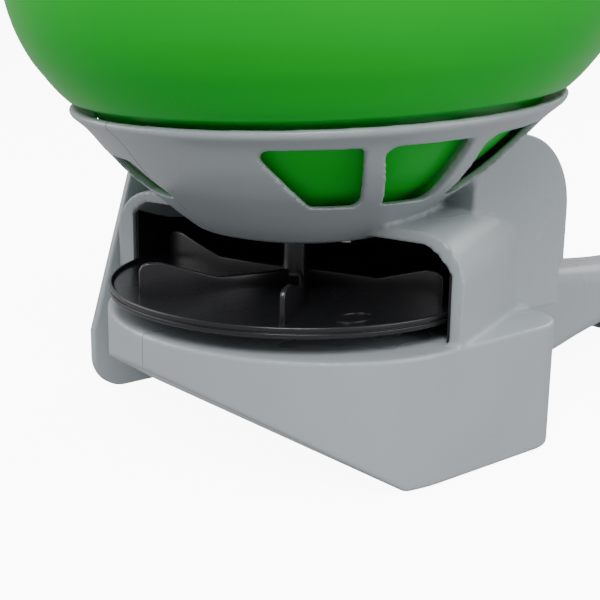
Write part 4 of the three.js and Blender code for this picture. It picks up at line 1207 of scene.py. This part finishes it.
    def screws(self) -> None:
        """All screws that show on this side."""
        steel = self.stand.finishes.steel
        pan = Screw()
        for i, (y, z) in enumerate(self.body.screws, 1):
            made = pan.make(f"body_screw_pan_{i}", y, z, -8.3, 10.5)
            self.stand.show(made, "body", steel, "bright_steel", [f"body_screw_{i}"])
        for i, (y, z) in enumerate(self.body.cover_screws, 1):
            made = pan.make(f"cover_screw_pan_{i}", y, z, self.outer - 0.3, 7 - self.body.right)
            self.stand.show(made, "body", steel, "bright_steel", [f"cover_screw_{i}"])
        face = self.arm_face - 1.5 - 0.3
        made = pan.make("crank_screw_pan", 0, self.body.axis_z, face, self.arm_face + 1.4)
        self.stand.show(made, "crank", steel, "bright_steel", ["crank_screw"])

    def build(self) -> None:
        """Builds this side from the cover outwards."""
        self.cover()
        self.arm()
        self.grip()
        self.screws()


# ------------------------------------------------------------------ handle controls


@dataclass
class Controls:
    """The squeeze trigger under the handle and the flow dial on the sloping web."""

    stand: Stand
    pivot: Pair = (166.0, 18.0)
    half: float = 4.8
    blade: float = 52.0
    low: float = 2.0
    arm: float = 12.0
    dial: float = 13.0
    dial_high: float = 8.0

    def trigger(self) -> None:
        """The trigger: a curved blade with finger hollows, and a short arm above the pivot."""
        y, z = self.pivot
        head = arc((y, z + self.arm - 0.4), 3, 180, 0, 12)
        top = spline([(y + 4.4, z), (y + 12, z - 6.2), (y + 26, z - 9), (y + self.blade - 8, z - 9.5)], 6)
        end = spline([(y + self.blade - 3, z - 9.9), (y + self.blade - 0.4, z - 11),
                      (y + self.blade, self.low + 3.6)], 4)
        under = spline([(y + self.blade - 3, self.low + 1.9), (y + 38, self.low + 1.1), (y + 28, self.low + 0.8),
                        (y + 16, self.low + 1.4), (y + 6, self.low + 3)], 6)
        front = spline([(y - 1.5, z - 8.5), (y - 4, z - 4), (y - 4.4, z)], 4)
        blade = Bench.prism("trigger_blade", head + top + end + under + front, Facing.SIDE, -self.half, self.half,
                            1.1, 4)
        Bench.combine(blade, Cut.OFF, Bench.bar(y, z, 2.2, -self.half - 1, self.half + 1))
        self.stand.show(blade, "trigger", self.stand.finishes.grip, "black_plastic", ["trigger"], 35)

    def knob(self) -> None:
        """The flow dial: a scalloped knob with a raised pointer."""
        seat = 0.6
        top = seat + self.dial_high
        rim = fillet([(0, seat), (self.dial, seat), (self.dial, top - 0.4), (self.dial - 3.2, top),
                      (self.dial - 4.6, top - 0.8), (0, top - 0.8)], [0, 0.4, 1.3, 0.8, 0.8, 0], 5)
        body = Bench.turned("dial", rim, 128)
        for i in range(12):
            a = i * math.pi / 6
            Bench.combine(body, Cut.OFF, Bench.post(
                (self.dial + 1.2) * math.cos(a), (self.dial + 1.2) * math.sin(a), 2.3, seat + 2, 20))
        Bench.combine(body, Cut.ON, Bench.block((-1, 2.5, top - 1.2), (1, self.dial - 1.6, top + 0.6), 0.4),
                      Bench.post(0, 0, 3, -5, seat + 1))
        dial = Bench.moved(body, "flow_dial_knob", DIAL_PLACE)
        self.stand.show(dial, "dial", self.stand.finishes.grip, "black_plastic", ["flow_dial"], 35)

    def build(self) -> None:
        """Builds both controls."""
        self.trigger()
        self.knob()


# ------------------------------------------------------------------ studio


@dataclass
class Studio:
    """Pale floor, soft light and the camera."""

    camera_at: tuple[float, float, float] = (307.3, -257.8, 148.9)
    heading: float = 50.0
    yaw: float = 0.145
    pitch: float = 14.63
    roll: float = 0.845
    focal: float = 72.1
    floor_size: float = 60.0
    floor_glow: float = 9.0
    sky: float = 0.56

    def camera(self) -> None:
        """Places the camera."""
        data = bpy.data.cameras.new("camera")
        data.lens, data.sensor_width, data.clip_start, data.clip_end = self.focal, 36.0, 0.01, 20.0
        view = bpy.data.objects.new("camera", data)
        bpy.context.scene.collection.objects.link(view)
        away = turn(self.heading - self.yaw)
        ahead = Vector((-math.sin(away), math.cos(away), 0)) * math.cos(turn(self.pitch)) - Vector(
            (0, 0, math.sin(turn(self.pitch))))
        side = ahead.cross(Vector((0, 0, 1))).normalized()
        up = side.cross(ahead)
        lean = turn(self.roll)
        right = side * math.cos(lean) + up * math.sin(lean)
        above = up * math.cos(lean) - side * math.sin(lean)
        basis = Matrix((right, above, -ahead)).transposed().to_4x4()
        view.matrix_world = Matrix.Translation(Vector(self.camera_at) * MM) @ basis
        bpy.context.scene.camera = view

    def lamp(self, name: str, place: Sequence[float], size: float, power: float) -> None:
        """A square soft light aimed at the spreader, its place and size in metres."""
        data = bpy.data.lights.new(name, "AREA")
        data.shape, data.size, data.energy = "SQUARE", size, power
        lamp = bpy.data.objects.new(name, data)
        lamp.location = place
        lamp.rotation_euler = (Vector((0, 0, 0.08)) - Vector(place)).to_track_quat("-Z", "Y").to_euler()
        bpy.context.scene.collection.objects.link(lamp)

    def build(self) -> None:
        """Sets up the stage, the world and the lamps."""
        Bench.deselect()
        bpy.ops.mesh.primitive_plane_add(size=self.floor_size, location=(0, 0, -0.0004))
        floor = bpy.context.object
        floor.name = "pale_floor"
        floor.visible_diffuse = floor.visible_glossy = False
        paper = bpy.data.materials.new("matt_paper_white")
        paper.use_nodes = True
        shader = paper.node_tree.nodes["Principled BSDF"]
        shader.inputs["Base Color"].default_value = linear("#FFFFFF")
        shader.inputs["Emission Color"].default_value = (1, 1, 1, 1)
        shader.inputs["Emission Strength"].default_value = self.floor_glow
        shader.inputs["Roughness"].default_value = 0.9
        shader.inputs["Specular IOR Level"].default_value = 0.1
        floor.data.materials.append(paper)
        world = bpy.data.worlds.new("soft_white")
        world.use_nodes = True
        world.node_tree.nodes["Background"].inputs["Color"].default_value = (1, 1, 1, 1)
        world.node_tree.nodes["Background"].inputs["Strength"].default_value = self.sky
        bpy.context.scene.world = world
        self.lamp("key", (0.9, -0.9, 1.5), 0.9, 38)
        self.lamp("fill", (-1.2, -0.9, 0.7), 1.2, 14)
        self.lamp("side", (1.4, 0.5, 0.5), 1.0, 10)
        self.lamp("back", (-0.3, 1.5, 1.2), 1.2, 12)


def main() -> None:
    """Builds the spreader round its frame."""
    logging.basicConfig(level=logging.INFO, format="%(name)s %(message)s")
    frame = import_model()
    studio = Studio()
    studio.camera()
    stand = Stand(Finishes(), frame)
    bowl = Bowl()
    body = BodyShell(stand, bowl)
    body.build()
    Chamber(stand, body).build()
    Hopper(stand, bowl).build()
    Impeller(stand).build()
    CrankSide(stand, body).build()
    Controls(stand).build()
    stand.dress_the_rest()
    studio.build()


if __name__ == "__main__":
    main()
